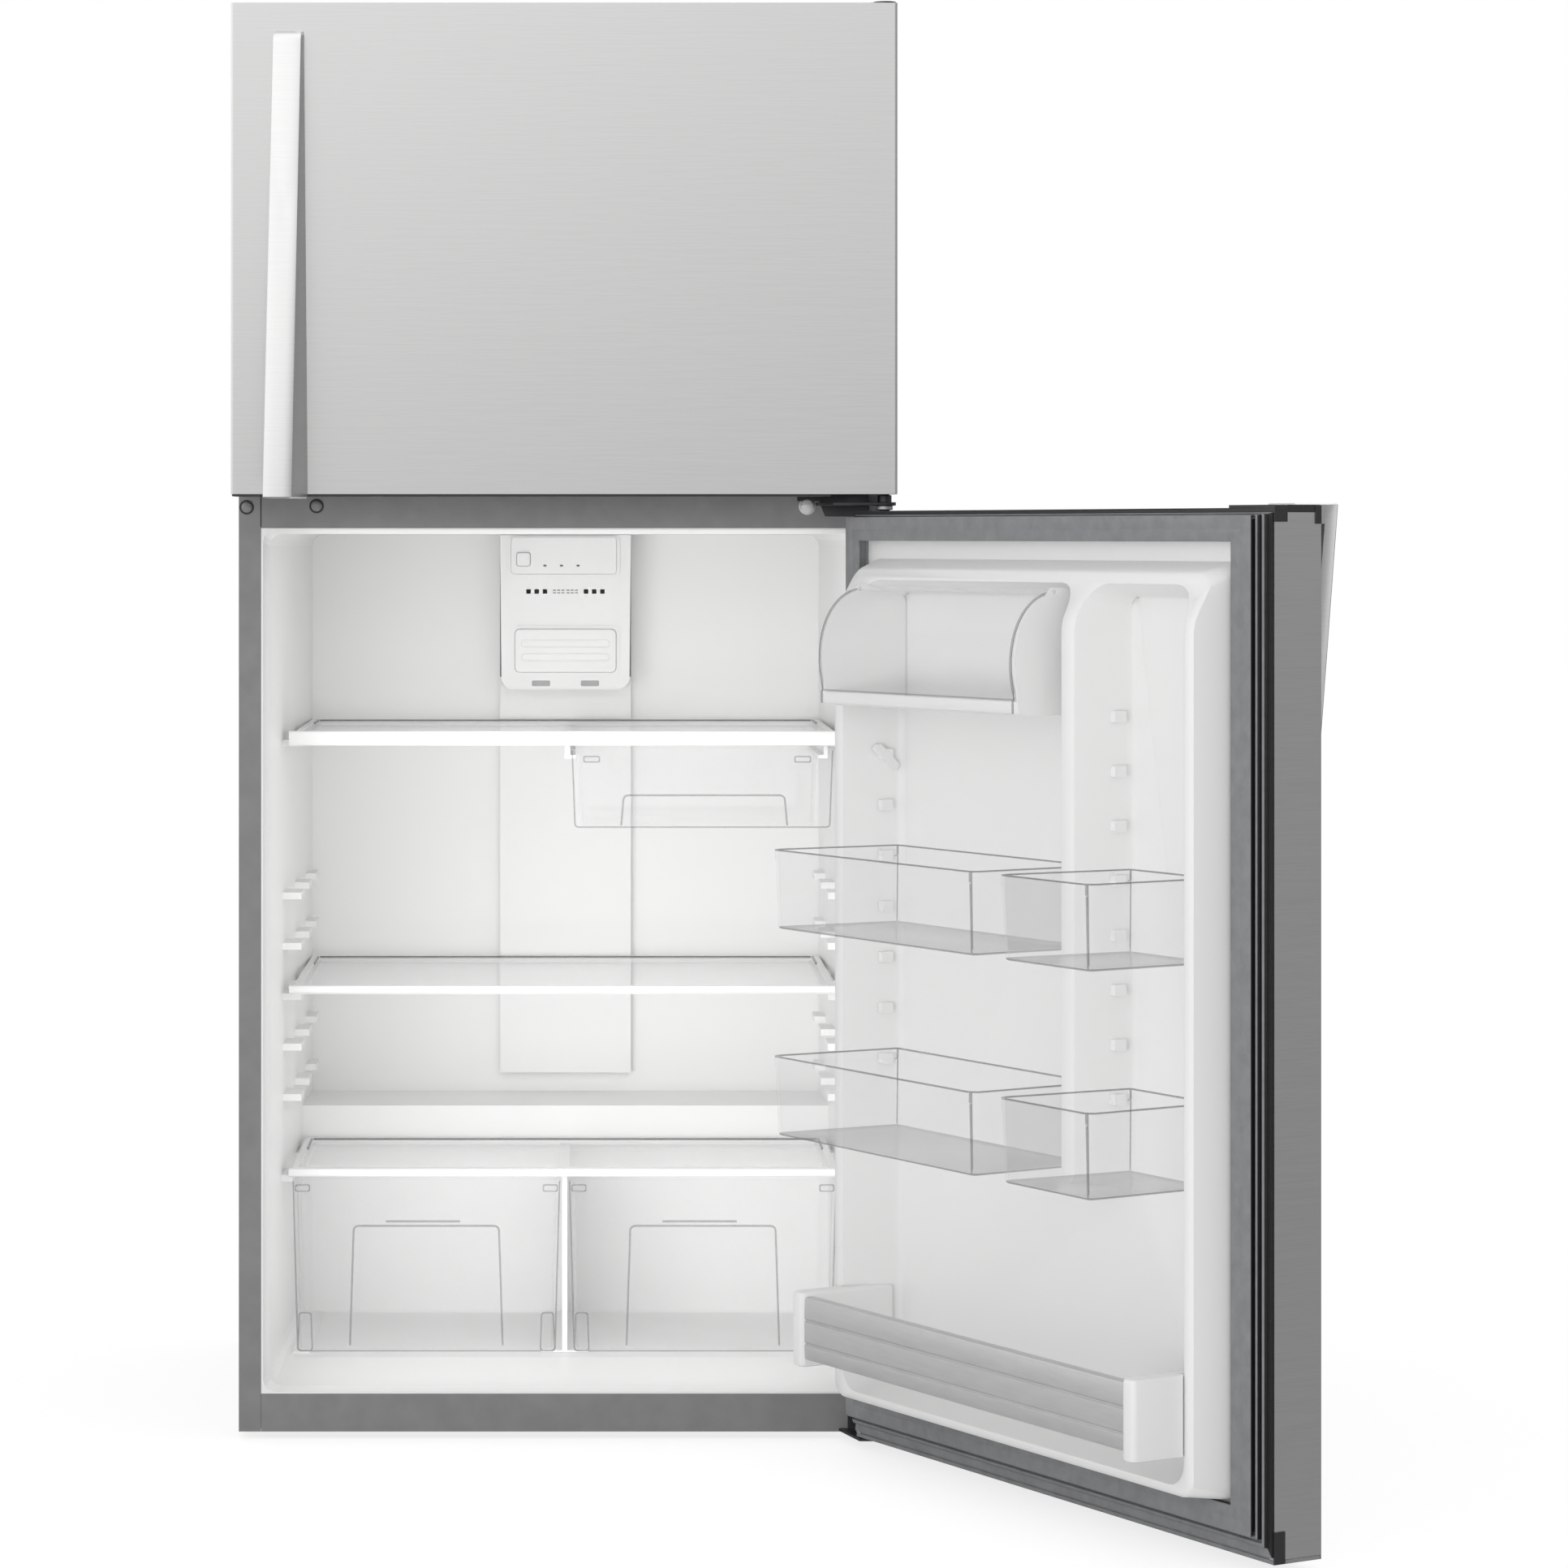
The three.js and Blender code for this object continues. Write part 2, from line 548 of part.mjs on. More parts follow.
// The foam that fills the cabinet between its steel and its liners.
function cabinetFoam() {
  const block = box(
    grown([-CAB_X, CAB_X], -SHEET - TOUCH),
    [FRONT + SHEET + TOUCH, BACK - SHEET - 2 * TOUCH],
    [BASE_TOP + TOUCH, TOP - SHEET - TOUCH],
  );
  const across = grown([-OPENING_X, OPENING_X], TOUCH);
  const behindRail = [FRONT - 1, FRONT + RAIL_DEPTH + TOUCH];
  const machineRoom = box([-CAB_X, CAB_X], [STEP_FRONT - TOUCH, BACK + 1], [0, STEP_TOP + TOUCH]);
  const legPockets = [-1, 1].map((side) =>
    rod("z", [side * LEG_X, LEG_Y], [0, LEG_STEM_TOP + 4], LEG_STEM_RADIUS + 3),
  );
  return cut(
    block,
    freshSpace(PLASTIC + TOUCH, 1),
    freezerSpace(PLASTIC + TOUCH, 1),
    box(across, behindRail, grown([MULLION_BOTTOM, MULLION_TOP], TOUCH)),
    box(across, behindRail, [0, BOTTOM_RAIL_TOP + TOUCH]),
    machineRoom,
    ...legPockets,
  );
}

const PLUG_RADIUS = 7;

function plugButton() {
  return join(
    rod("y", [0, 0], [-2 - TOUCH, -TOUCH], PLUG_RADIUS, 16),
    rod("y", [0, 0], [-3.2 - TOUCH, -TOUCH], PLUG_RADIUS * 0.6, 12),
  );
}

// ---------------------------------------------------------------- feet and machine room

function levelingLeg() {
  return join(
    rod("z", [0, 0], [0, BOTTOM - TOUCH], LEG_PAD_RADIUS, 16),
    rod("z", [0, 0], [0, LEG_STEM_TOP], LEG_STEM_RADIUS, 12),
  );
}

function rearRollers() {
  const axle = rod("x", [0, 0], grown([-WHEEL_X, WHEEL_X], WHEEL_WIDTH / 2 + EAR_SHEET + 6), AXLE_RADIUS);
  const wheels = [-1, 1].map((side) =>
    rod("x", [0, 0], grown([side * WHEEL_X, side * WHEEL_X], WHEEL_WIDTH / 2), WHEEL_RADIUS, 24),
  );
  return join(axle, ...wheels);
}

const COMPRESSOR_X = -60;
const COMPRESSOR_Y = STEP_FRONT + 100;
const COMPRESSOR_RADIUS = 60;
const COMPRESSOR_HEIGHT = 165;
const COMPRESSOR_FOOT = 20;

function compressor() {
  const belly = COMPRESSOR_RADIUS;
  const profile = [
    [0, 0],
    [belly * 0.6, 2],
    [belly * 0.88, 16],
    [belly, 45],
    [belly, 78],
    [belly * 1.03, 80],
    [belly * 1.03, 84],
    [belly, 86],
    [belly * 0.98, 115],
    [belly * 0.84, 145],
    [belly * 0.5, COMPRESSOR_HEIGHT - 4],
    [0, COMPRESSOR_HEIGHT],
  ].map(([r, z]) => new THREE.Vector2(r, z));
  const pot = new THREE.LatheGeometry(profile, 20).rotateX(Math.PI / 2);
  pot.translate(0, 0, COMPRESSOR_FOOT);
  const feet = [-1, 1].flatMap((u) =>
    [-1, 1].map((v) => rod("z", [u * 82, v * 42], [TOUCH, COMPRESSOR_FOOT], 9)),
  );
  const plate = box([-96, 96], [-54, 54], [COMPRESSOR_FOOT - 4, COMPRESSOR_FOOT + 3]);
  const terminals = box([belly - 12, belly + 26], [-24, 24], [50, 118]);
  const pipes = join(
    rod("z", [-44, -12], [COMPRESSOR_FOOT + 90, COMPRESSOR_FOOT + 195], 4, 8),
    rod("z", [-30, 16], [COMPRESSOR_FOOT + 90, COMPRESSOR_FOOT + 180], 3, 8),
  );
  return join(solid(pot), ...feet, plate, terminals, pipes);
}

const INLET_WIDTH = 50;
const INLET_HEIGHT = 28;
const INLET_DEPTH = 36;

// The socket that the supply cord would plug into, open towards the back.
function powerInlet() {
  const body = box(grown([0, 0], INLET_WIDTH / 2), [-INLET_DEPTH, 0], [-INLET_HEIGHT, 0]);
  const socket = box(grown([0, 0], INLET_WIDTH / 2 - 6), [-INLET_DEPTH + 12, 1], [-INLET_HEIGHT + 5, -5]);
  const blades = [-9, 0, 9].map((x) => box([x - 1, x + 1], [-INLET_DEPTH + 10, -4], [-17, -11]));
  return join(cut(body, socket), ...blades);
}

// ---------------------------------------------------------------- shelves

const GLASS_REST = 6; // how far the glass lies on the ring
const RING_FLOOR = 3.4;

// A shelf's plastic ring, with a ledge inside it for the glass and a trim along its front.
function shelfRing(half, front, back, top, trimRise, trimHeight) {
  const open = half - SHELF_RING + GLASS_REST;
  const ring = box([-half, half], [front + SHELF_TRIM - 2, back], [top - SHELF_RIM, top]);
  const glassY = [front + SHELF_TRIM + SHELF_RING - GLASS_REST, back - SHELF_RING + GLASS_REST];
  const seat = box([-open, open], glassY, [top - SHELF_RIM + RING_FLOOR, top + 1]);
  const through = box(grown([-open, open], -GLASS_REST), grown(glassY, -GLASS_REST), [top - 20, top + 1]);
  const trimZ = [top + trimRise - trimHeight, top + trimRise];
  const trimSection = rounded([front, front + SHELF_TRIM], trimZ, 2.5, 2);
  const trim = prism("x", trimSection, grown([-half, half], SHELF_TRIM_OVER));
  return cut(join(ring, trim), seat, through);
}

function shelfGlass(half, front, back, top) {
  const open = half - SHELF_RING + GLASS_REST - TOUCH;
  const glassY = [front + SHELF_TRIM + SHELF_RING - GLASS_REST, back - SHELF_RING + GLASS_REST];
  const bottom = top - SHELF_RIM + RING_FLOOR + TOUCH;
  return box([-open, open], grown(glassY, -TOUCH), [bottom, bottom + GLASS]);
}

const HANGER = 8;
const DELI_RIM_BELOW = 5; // deli drawer's rim below its top
const RIM_SHEET = 3;
const DELI_LEDGE = 4;

// The upper shelf also carries the hangers that the deli drawer slides on.
function upperShelfFrame() {
  const top = UPPER_SHELF_TOP;
  const frame = shelfRing(SHELF_HALF, SHELF_FRONT, SHELF_BACK, top, UPPER_TRIM_RISE, UPPER_TRIM_HEIGHT);
  const rimBottom = DELI_BOTTOM + DELI_HEIGHT - DELI_RIM_BELOW - RIM_SHEET;
  const along = [DELI_FRONT + 9, SHELF_BACK - 2];
  const rimRight = DELI_RIGHT - DELI_SIDE;
  const web = [rimBottom - TOUCH - DELI_LEDGE, top - SHELF_RIM + RING_FLOOR - TOUCH];
  const ledge = [rimBottom - TOUCH - DELI_LEDGE, rimBottom - TOUCH];
  return join(
    frame,
    box([DELI_LEFT - HANGER, DELI_LEFT - 1.5], along, web),
    box([DELI_LEFT - HANGER, DELI_LEFT + 5], along, ledge),
    box([rimRight + 1.5, rimRight + HANGER - 2], along, web),
    box([rimRight - 5, rimRight + HANGER - 2], along, ledge),
  );
}

const SUPPORT_HALF = 28;
const SUPPORT_WALL = 3;

// The runner and wall between the crisper drawers; the cover's middle rests on it.
function crisperSupport() {
  const along = [COVER_FRONT + SHELF_TRIM + TOUCH, COVER_BACK - 4];
  const base = FRESH_FLOOR + TOUCH;
  return join(
    box([-SUPPORT_HALF, SUPPORT_HALF], along, [base, FRESH_FLOOR + RUNNER]),
    box([-SUPPORT_WALL, SUPPORT_WALL], along, [base, COVER_TOP - SHELF_RIM - TOUCH]),
  );
}

// The cover's ring has a bar down its middle, over the support.
function crisperCoverFrame() {
  const ring = shelfRing(SHELF_HALF, COVER_FRONT, COVER_BACK, COVER_TOP, 0, COVER_TRIM_HEIGHT);
  const bar = [COVER_TOP - SHELF_RIM, COVER_TOP - SHELF_RIM + RING_FLOOR];
  return join(ring, box([-GLASS_REST, GLASS_REST], [COVER_FRONT + SHELF_TRIM, COVER_BACK - 2], bar));
}

// ---------------------------------------------------------------- drawers

// An open tub; its walls draw in towards the floor by TUB_DRAFT.
function tub([x0, x1], [y0, y1], [z0, z1]) {
  const outer = (by) => rounded(grown([x0, x1], -by), grown([y0, y1], -by), 8 - Math.min(by, 4), 2);
  const body = loft("z", outer(TUB_DRAFT), z0, outer(0), z1);
  const hollow = loft("z", outer(TUB_DRAFT + TUB_WALL), z0 + TUB_WALL, outer(TUB_WALL), z1 + 1);
  return cut(body, hollow);
}

const GRIP_WIDTH = 180;
const GRIP_HEIGHT = 142;
const GRIP_BELOW = 45; // top of the grip panel below the drawer's rim
const GRIP_STAND = 2;
const FRONT_PLATE = 4;

// A crisper drawer from x = 0 to its width, with a raised grip panel on its front.
function crisperDrawer(width, depth) {
  const bin = tub([0, width], [FRONT_PLATE - 1, depth], [0, CRISPER_HEIGHT - 4]);
  const face = box([0, width], [0, FRONT_PLATE], [0, CRISPER_HEIGHT]);
  const high = CRISPER_HEIGHT - GRIP_BELOW;
  const low = high - GRIP_HEIGHT;
  const middle = width / 2;
  const panel = [
    [middle - GRIP_WIDTH / 2 - 4, low],
    [middle + GRIP_WIDTH / 2 + 4, low],
    [middle + GRIP_WIDTH / 2 - 4, high],
    [middle - GRIP_WIDTH / 2 + 4, high],
  ];
  const finger = box(grown([middle, middle], GRIP_WIDTH / 2 - 20), [-5, -1], [high - 5, high]);
  return join(bin, face, prism("y", panel, [-GRIP_STAND, 1]), finger);
}

function deliDrawer() {
  const rimTop = DELI_HEIGHT - DELI_RIM_BELOW;
  const width = DELI_RIGHT - DELI_LEFT;
  const rimEnd = width - DELI_SIDE;
  const bin = tub([6.5, rimEnd - 6.5], [FRONT_PLATE - 1, DELI_DEPTH], [2, rimTop]);
  const face = box([0, width], [0, FRONT_PLATE], [0, DELI_HEIGHT]);
  const rim = [
    [0, 8],
    [rimEnd - 8, rimEnd],
  ].map((edge) => box(edge, [FRONT_PLATE - 1, DELI_DEPTH - 8], [rimTop - RIM_SHEET, rimTop]));
  const grip = rounded([60.5, 254.5], [12, 51.5], 10, 2);
  const lip = prism("y", grip, [-3, 0.5], rounded([66.5, 248.5], [18, 45.5], 6, 2));
  return join(bin, face, ...rim, lip);
}

// ---------------------------------------------------------------- air tower and controls

const TOWER_HALF = 83.5;
const TOWER_FRONT = SHELF_BACK + 1.5;
const TOWER_BOTTOM = HUMP_TOP + 25;
const HOUSING_FRONT = TOWER_FRONT - 47.5;
const HOUSING_BOTTOM = FRESH_CEILING_BACK - 197;
const HOUSING_WALL = 2.5;
const PANEL_X = [-68.7, 64.5];
const PANEL_Z = [FRESH_CEILING_BACK - 49.7, FRESH_CEILING_BACK - 3.3];
const PANEL_DEPTH = 5;
const BUTTON_HALF = 8.5;
const BUTTON_X = -53.2;
const BUTTON_Z = PANEL_Z[0] + 18.5;
const BUTTON_TRAVEL = 1.5;
const LENS_X = [-64, 64];
const LENS_Z = [HOUSING_BOTTOM + 22.7, HOUSING_BOTTOM + 77.3];

// The plain duct cover up the middle of the back wall.
function airTower() {
  return box(
    [-TOWER_HALF, TOWER_HALF],
    [TOWER_FRONT, FRESH_BACK - TOUCH],
    [TOWER_BOTTOM, FRESH_CEILING_BACK - TOUCH],
  );
}

const VENT_SLOTS = 7;
const VENT_PITCH = 14;

function controlHousing() {
  const across = grown([-TOWER_HALF, TOWER_HALF], -0.5);
  const up = [HOUSING_BOTTOM, FRESH_CEILING_BACK - TOUCH];
  const deep = [HOUSING_FRONT, TOWER_FRONT - TOUCH];
  const body = prism("y", rounded(across, up, 9, 2), deep);
  const hollow = box(
    grown(across, -HOUSING_WALL),
    [deep[0] + HOUSING_WALL, deep[1] + 1],
    grown(up, -HOUSING_WALL),
  );
  const ventZ = [PANEL_Z[0] - 25.3, PANEL_Z[0] - 19.3];
  const clipZ = [HOUSING_BOTTOM + 4, HOUSING_BOTTOM + 12];
  const slots = Array.from({ length: VENT_SLOTS }, (_, i) => {
    const x = (i - (VENT_SLOTS - 1) / 2) * VENT_PITCH;
    return box([x - 2.5, x + 2.5], [deep[0] - 1, deep[0] + HOUSING_WALL + 1], ventZ);
  });
  const clips = [-31.6, 31.6].map((x) => box([x - 11, x + 11], [deep[0] - 1, deep[0] + 4], clipZ));
  return cut(body, hollow, ...slots, ...clips);
}

function controlPanel() {
  const deep = [HOUSING_FRONT - TOUCH - PANEL_DEPTH, HOUSING_FRONT - TOUCH];
  const plate = prism("y", rounded(PANEL_X, PANEL_Z, 4, 2), deep);
  const hole = grown([0, 0], BUTTON_HALF + 0.4);
  const shift = (span, by) => span.map((v) => v + by);
  return cut(plate, box(shift(hole, BUTTON_X), grown(deep, 1), shift(hole, BUTTON_Z)));
}

function controlButton() {
  const back = -TOUCH - BUTTON_TRAVEL;
  return prism("y", rounded(grown([0, 0], BUTTON_HALF), grown([0, 0], BUTTON_HALF), 3, 2), [back - 6, back]);
}

function lightLens() {
  const deep = [HOUSING_FRONT - TOUCH - 6, HOUSING_FRONT - TOUCH];
  const body = prism("y", rounded(LENS_X, LENS_Z, 6, 2), deep);
  const ribs = [18, 34].map((rise) => {
    const z = LENS_Z[0] + rise;
    return box(grown(LENS_X, -6), [deep[0] - 1.2, deep[0] + 1], [z, z + 3]);
  });
  return join(body, ...ribs);
}

// ---------------------------------------------------------------- freezer inside

const FREEZER_SHELF_HALF = LINER_BACK_HALF + 2;
const FREEZER_SHELF_Y = [FRONT + 70, FREEZER_BACK - 110];
const FREEZER_LEDGES = [FREEZER_SHELF_Y[0] + 40, FREEZER_SHELF_Y[1] - 60];
const WIRE = 4;
const SHELF_BARS = 9;
const COVER_PLATE = [FREEZER_BACK - 82, FREEZER_BACK - 79];
const FAN_Z = FREEZER_CEILING - 137;
const FAN_RADIUS = 48;
const FAN_FRONT = COVER_PLATE[1] + 6;
const FAN_DEPTH = 14;
const SHROUD = 56;

function freezerShelf() {
  const frameX = [-FREEZER_SHELF_HALF, FREEZER_SHELF_HALF];
  const z = [FREEZER_SHELF_Z, FREEZER_SHELF_Z + WIRE + 2];
  const inside = box(grown(frameX, -6), grown(FREEZER_SHELF_Y, -6), grown(z, 1));
  const frame = cut(box(frameX, FREEZER_SHELF_Y, z), inside);
  const bars = Array.from({ length: SHELF_BARS }, (_, i) => {
    const x = between(i, [-1, -FREEZER_SHELF_HALF], [SHELF_BARS, FREEZER_SHELF_HALF]);
    return box([x - WIRE / 2, x + WIRE / 2], grown(FREEZER_SHELF_Y, -3), [z[0] + 1, z[0] + 1 + WIRE]);
  });
  return join(frame, ...bars);
}

// The freezer's inner back panel, with the fan's shroud, motor and shaft behind it.
function evaporatorCover() {
  const half = wallHalf(COVER_PLATE[1], FREEZER_BACK) - PLASTIC;
  const outline = rounded([-half, half], grown([FREEZER_FLOOR, FREEZER_CEILING], -TOUCH), LINER_CORNER);
  const plate = prism("y", outline, COVER_PLATE);
  const grille = [-36, -24, -12, 0, 12, 24, 36].map((dz) => {
    const reach = Math.sqrt((SHROUD - 8) ** 2 - dz ** 2);
    return box([-reach, reach], grown(COVER_PLATE, 1), [FAN_Z + dz - 3.5, FAN_Z + dz + 3.5]);
  });
  const shroud = cut(
    rod("y", [0, FAN_Z], [COVER_PLATE[1] - 1, FAN_FRONT + FAN_DEPTH + 8], SHROUD, 24),
    rod("y", [0, FAN_Z], [COVER_PLATE[1], FREEZER_BACK], SHROUD - 3, 24),
  );
  const armY = [FAN_FRONT + FAN_DEPTH + 3, FAN_FRONT + FAN_DEPTH + 8];
  const arms = join(
    box([-SHROUD + 1, SHROUD - 1], armY, [FAN_Z - 4, FAN_Z + 4]),
    box([-4, 4], armY, [FAN_Z - SHROUD + 1, FAN_Z + SHROUD - 1]),
  );
  const motor = rod("y", [0, FAN_Z], [armY[0], armY[1] + 22], 20, 16);
  const shaft = rod("y", [0, FAN_Z], [FAN_FRONT - 2, armY[0] + 1], 2.5, 10);
  const returnZ = [FREEZER_FLOOR + 14, FREEZER_FLOOR + 26];
  const returnAir = [-220, 0, 220].map((x) => box([x - 60, x + 60], grown(COVER_PLATE, 1), returnZ));
  return join(cut(plate, ...grille, ...returnAir), shroud, arms, motor, shaft);
}

function evaporatorFan() {
  const hub = rod("y", [0, 0], [0, FAN_DEPTH], 13, 16);
  const blades = Array.from({ length: 5 }, (_, i) => {
    const blade = new THREE.BoxGeometry(FAN_RADIUS - 8, 2, 26);
    blade.rotateX(THREE.MathUtils.degToRad(28));
    blade.translate((FAN_RADIUS + 8) / 2, FAN_DEPTH / 2, 0);
    return solid(blade.rotateY((i * 2 * Math.PI) / 5));
  });
  return cut(join(hub, ...blades), rod("y", [0, 0], [-1, FAN_DEPTH + 1], 2.5 + TOUCH, 10));
}

const COIL_X = [-250, 250];
const COIL_Y = [FREEZER_BACK - 58, FREEZER_BACK - TOUCH];
const COIL_Z = [FREEZER_FLOOR + 34, FREEZER_FLOOR + 234];
const COIL_FINS = 12;

function evaporator() {
  const tubes = [30, 80, 130, 170].map((rise) => rod("x", [COIL_Y[0] + 18, COIL_Z[0] + rise], COIL_X, 5, 8));
  const spine = box(COIL_X, [COIL_Y[1] - 3, COIL_Y[1]], grown(COIL_Z, -10));
  const fins = Array.from({ length: COIL_FINS }, (_, i) => {
    const x = between(i, [0, COIL_X[0] + 8], [COIL_FINS - 1, COIL_X[1] - 8]);
    return box([x - 1.5, x + 1.5], COIL_Y, COIL_Z);
  });
  return join(spine, ...tubes, ...fins);
}

// ---------------------------------------------------------------- hinges

const HINGE_TOP_Z = TOP + TOUCH;
const LEAF_RADIUS = 13;
const BOLT_RADIUS = 8;

function hexBolt(axis, at, [from, to]) {
  return rod(axis, at, [from, to], BOLT_RADIUS, 6);
}

// A leaf around the pin's axis that runs back to y = back.
function leaf(x0, back, [z0, z1]) {
  const nose = arc([HINGE_X, HINGE_DEPTH], LEAF_RADIUS, 0, -90, 4);
  const outline = [[HINGE_X + LEAF_RADIUS, back], ...nose, [x0 + 20, HINGE_DEPTH - LEAF_RADIUS], [x0, back]];
  return prism("z", outline, [z0, z1]);
}

function pin([z0, z1]) {
  return rod("z", [HINGE_X, HINGE_DEPTH], [z0, z1], PIN_RADIUS, 16);
}

function topHinge() {
  const z = [HINGE_TOP_Z, HINGE_TOP_Z + HINGE_PLATE];
  const plate = prism(
    "z",
    [
      [HINGE_X + 9, FRONT + 100],
      [HINGE_X + 9, FRONT],
      ...arc([HINGE_X, HINGE_DEPTH], LEAF_RADIUS, 0, -180, 8),
      [HINGE_X - 60, FRONT],
      [HINGE_X - 60, FRONT + 100],
    ],
    z,
  );
  const bolts = [
    [HINGE_X - 8, FRONT + 22],
    [HINGE_X - 44, FRONT + 22],
    [HINGE_X - 26, FRONT + 80],
  ].map((at) => hexBolt("z", at, [z[0] + 1, z[1] + 4]));
  return join(plate, ...bolts, pin([FREEZER_DOOR_TOP - PIN_REACH, z[1] - 1]));
}

const CENTER_LEAF_Z = FRIDGE_DOOR_TOP + 6.2;
const CENTER_PLATE_X = [OPENING_X - 81, OPENING_X + 1];
const CENTER_LEAF_X = CENTER_PLATE_X[0] + 18;
const CENTER_PLATE_Z = [FRIDGE_DOOR_TOP - 6, FREEZER_DOOR_BOTTOM + 2];
const LEAF_SHEET = 3.8;
const WALL_PLATE = [FRONT - TOUCH - 3, FRONT - TOUCH];

function centerHinge() {
  const upright = box(CENTER_PLATE_X, WALL_PLATE, CENTER_PLATE_Z);
  const arm = leaf(CENTER_LEAF_X, WALL_PLATE[1], [CENTER_LEAF_Z, CENTER_LEAF_Z + LEAF_SHEET]);
  const bolt = hexBolt("y", [CENTER_PLATE_X[0] + 12, (CENTER_PLATE_Z[0] + CENTER_PLATE_Z[1]) / 2 - 4], [
    WALL_PLATE[0] - 5,
    WALL_PLATE[1],
  ]);
  const bushing = rod("z", [HINGE_X, HINGE_DEPTH], [FRIDGE_DOOR_TOP + 1, FREEZER_DOOR_BOTTOM - 1], 8, 16);
  const pins = pin([FRIDGE_DOOR_TOP - PIN_REACH, FREEZER_DOOR_BOTTOM + PIN_REACH]);
  return join(upright, arm, bolt, bushing, pins);
}

const BOTTOM_PLATE_X = [OPENING_X - 23, CAB_X - 1.5];

function bottomHinge() {
  const z = [BOTTOM + 1, BOTTOM + 1 + HINGE_PLATE];
  const gasketLow = FRIDGE_DOOR_BOTTOM + GASKET_BELOW;
  const upright = box(BOTTOM_PLATE_X, WALL_PLATE, [z[0], gasketLow - 2]);
  const arm = leaf(BOTTOM_PLATE_X[0] - 10, WALL_PLATE[1], z);
  return join(upright, arm, pin([z[0], FRIDGE_DOOR_BOTTOM + PIN_REACH]));
}

// ---------------------------------------------------------------- doors

function boreForPin([z0, z1]) {
  return rod("z", [HINGE_X, HINGE_DEPTH], [z0, z1], PIN_RADIUS + PIN_CLEARANCE, 16);
}

// The steel wrap: a full front, two sides and a folded lip along the back of each side. Its
// sides stop short of the end caps, which sit behind its front.
function doorSkin(bottom, top) {
  const r = DOOR_EDGE_RADIUS;
  const wrap = [
    [-DOOR_X, DOOR_STEEL],
    ...arc([-DOOR_X + r, r], r, 180, 270, 3),
    ...arc([DOOR_X - r, r], r, 270, 360, 3),
    [DOOR_X, DOOR_STEEL],
    [DOOR_X - DOOR_LIP, DOOR_STEEL],
    [DOOR_X - DOOR_LIP, DOOR_STEEL - SHEET],
    [DOOR_X - SHEET, DOOR_STEEL - SHEET],
    ...arc([DOOR_X - r, r], r - SHEET, 360, 270, 3),
    ...arc([-DOOR_X + r, r], r - SHEET, 270, 180, 3),
    [-DOOR_X + SHEET, DOOR_STEEL - SHEET],
    [-DOOR_X + DOOR_LIP, DOOR_STEEL - SHEET],
    [-DOOR_X + DOOR_LIP, DOOR_STEEL],
  ];
  const behind = [CAP_SETBACK, DOOR_STEEL + 1];
  return cut(
    prism("z", wrap, [bottom, top]),
    box(grown([-DOOR_X, DOOR_X], 1), behind, [bottom - 1, bottom + CAP_THICKNESS]),
    box(grown([-DOOR_X, DOOR_X], 1), behind, [top - CAP_THICKNESS, top + 1]),
  );
}

// An end cap with the plug that sits inside the wrap; up is +1 at the top of a door.
function doorCap(end, up) {
  const slab = [end, end - up * (CAP_THICKNESS - TOUCH)].sort((a, b) => a - b);
  const plug = [end, end - up * (CAP_THICKNESS + CAP_PLUG)].sort((a, b) => a - b);
  const inner = SHEET + TOUCH;
  return cut(
    join(
      box([-DOOR_X, DOOR_X], [CAP_SETBACK + TOUCH, DOOR_STEEL], slab),
      box(grown([-DOOR_X, DOOR_X], -inner - 4), [CAP_SETBACK + TOUCH, DOOR_STEEL - inner], plug),
    ),
    boreForPin(grown(plug, 1)),
  );
}

const CAP_PAD = 73; // length of the raised pad at the handle end of the fresh food door's top cap
const CAP_PAD_RISE = 3;

function fridgeDoorTopCap() {
  const pad = box(
    [-DOOR_X, -DOOR_X + CAP_PAD],
    [CAP_SETBACK + TOUCH, DOOR_STEEL],
    [FRIDGE_DOOR_TOP - 1, FRIDGE_DOOR_TOP + CAP_PAD_RISE],
  );
  return join(doorCap(FRIDGE_DOOR_TOP, 1), pad);
}

// The bellows gasket: a base, a narrow neck and the wide face that meets the cabinet.
function gasket([low, high]) {
  const ring = (inset, width, depth) => {
    const outer = rectangle(grown([-DOOR_X, DOOR_X], -inset), grown([low, high], GASKET_INSET - inset));
    const hole = rectangle(
      grown([-DOOR_X, DOOR_X], -inset - width),
      grown([low, high], GASKET_INSET - inset - width),
    );
    return prism("y", outer, depth, hole);
  };
  const base = FLANGE_FACE + TOUCH;
  return join(
    ring(GASKET_INSET + 3, GASKET_WIDTH - 6, [base, base + 3]),
    ring(GASKET_INSET + 6, GASKET_WIDTH - 12, [base + 2, GASKET_FACE - 4]),
    ring(GASKET_INSET, GASKET_WIDTH, [GASKET_FACE - 5, GASKET_FACE]),
  );
}

// The raised rim inside the gasket. shrink makes it smaller all round, for its hollow.
function dyke([low, high], shrink, base) {
  const at = (inset) => rounded(grown([-CREST_OUTER, CREST_OUTER], -inset), grown([low, high], -inset), 12);
  return loft("y", at(shrink - DYKE_DRAFT), base, at(shrink), DYKE_CREST - shrink);
}

// The recess inside the rim. grow makes it larger all round, for the outside of its sheet.
function recess([low, high], grow, deep = RECESS_FLOOR) {
  const at = (inset, radius) => {
    const out = grow - inset;
    return rounded(grown([-CREST_INNER, CREST_INNER], out), grown([low, high], out), radius + grow);
  };
  return loft("y", at(RECESS_DRAFT, 10), deep - grow, at(0, 24), DYKE_CREST + 1);
}

function rib(grow) {
  const at = (widen) =>
    rounded([RIB_LEFT - widen, RIB_RIGHT + widen], [RIB_END - widen, RECESS_TOP + 30], 6);
  return loft("y", at(RIB_DRAFT + grow), RECESS_FLOOR - 10, at(grow), DYKE_CREST + grow);
}

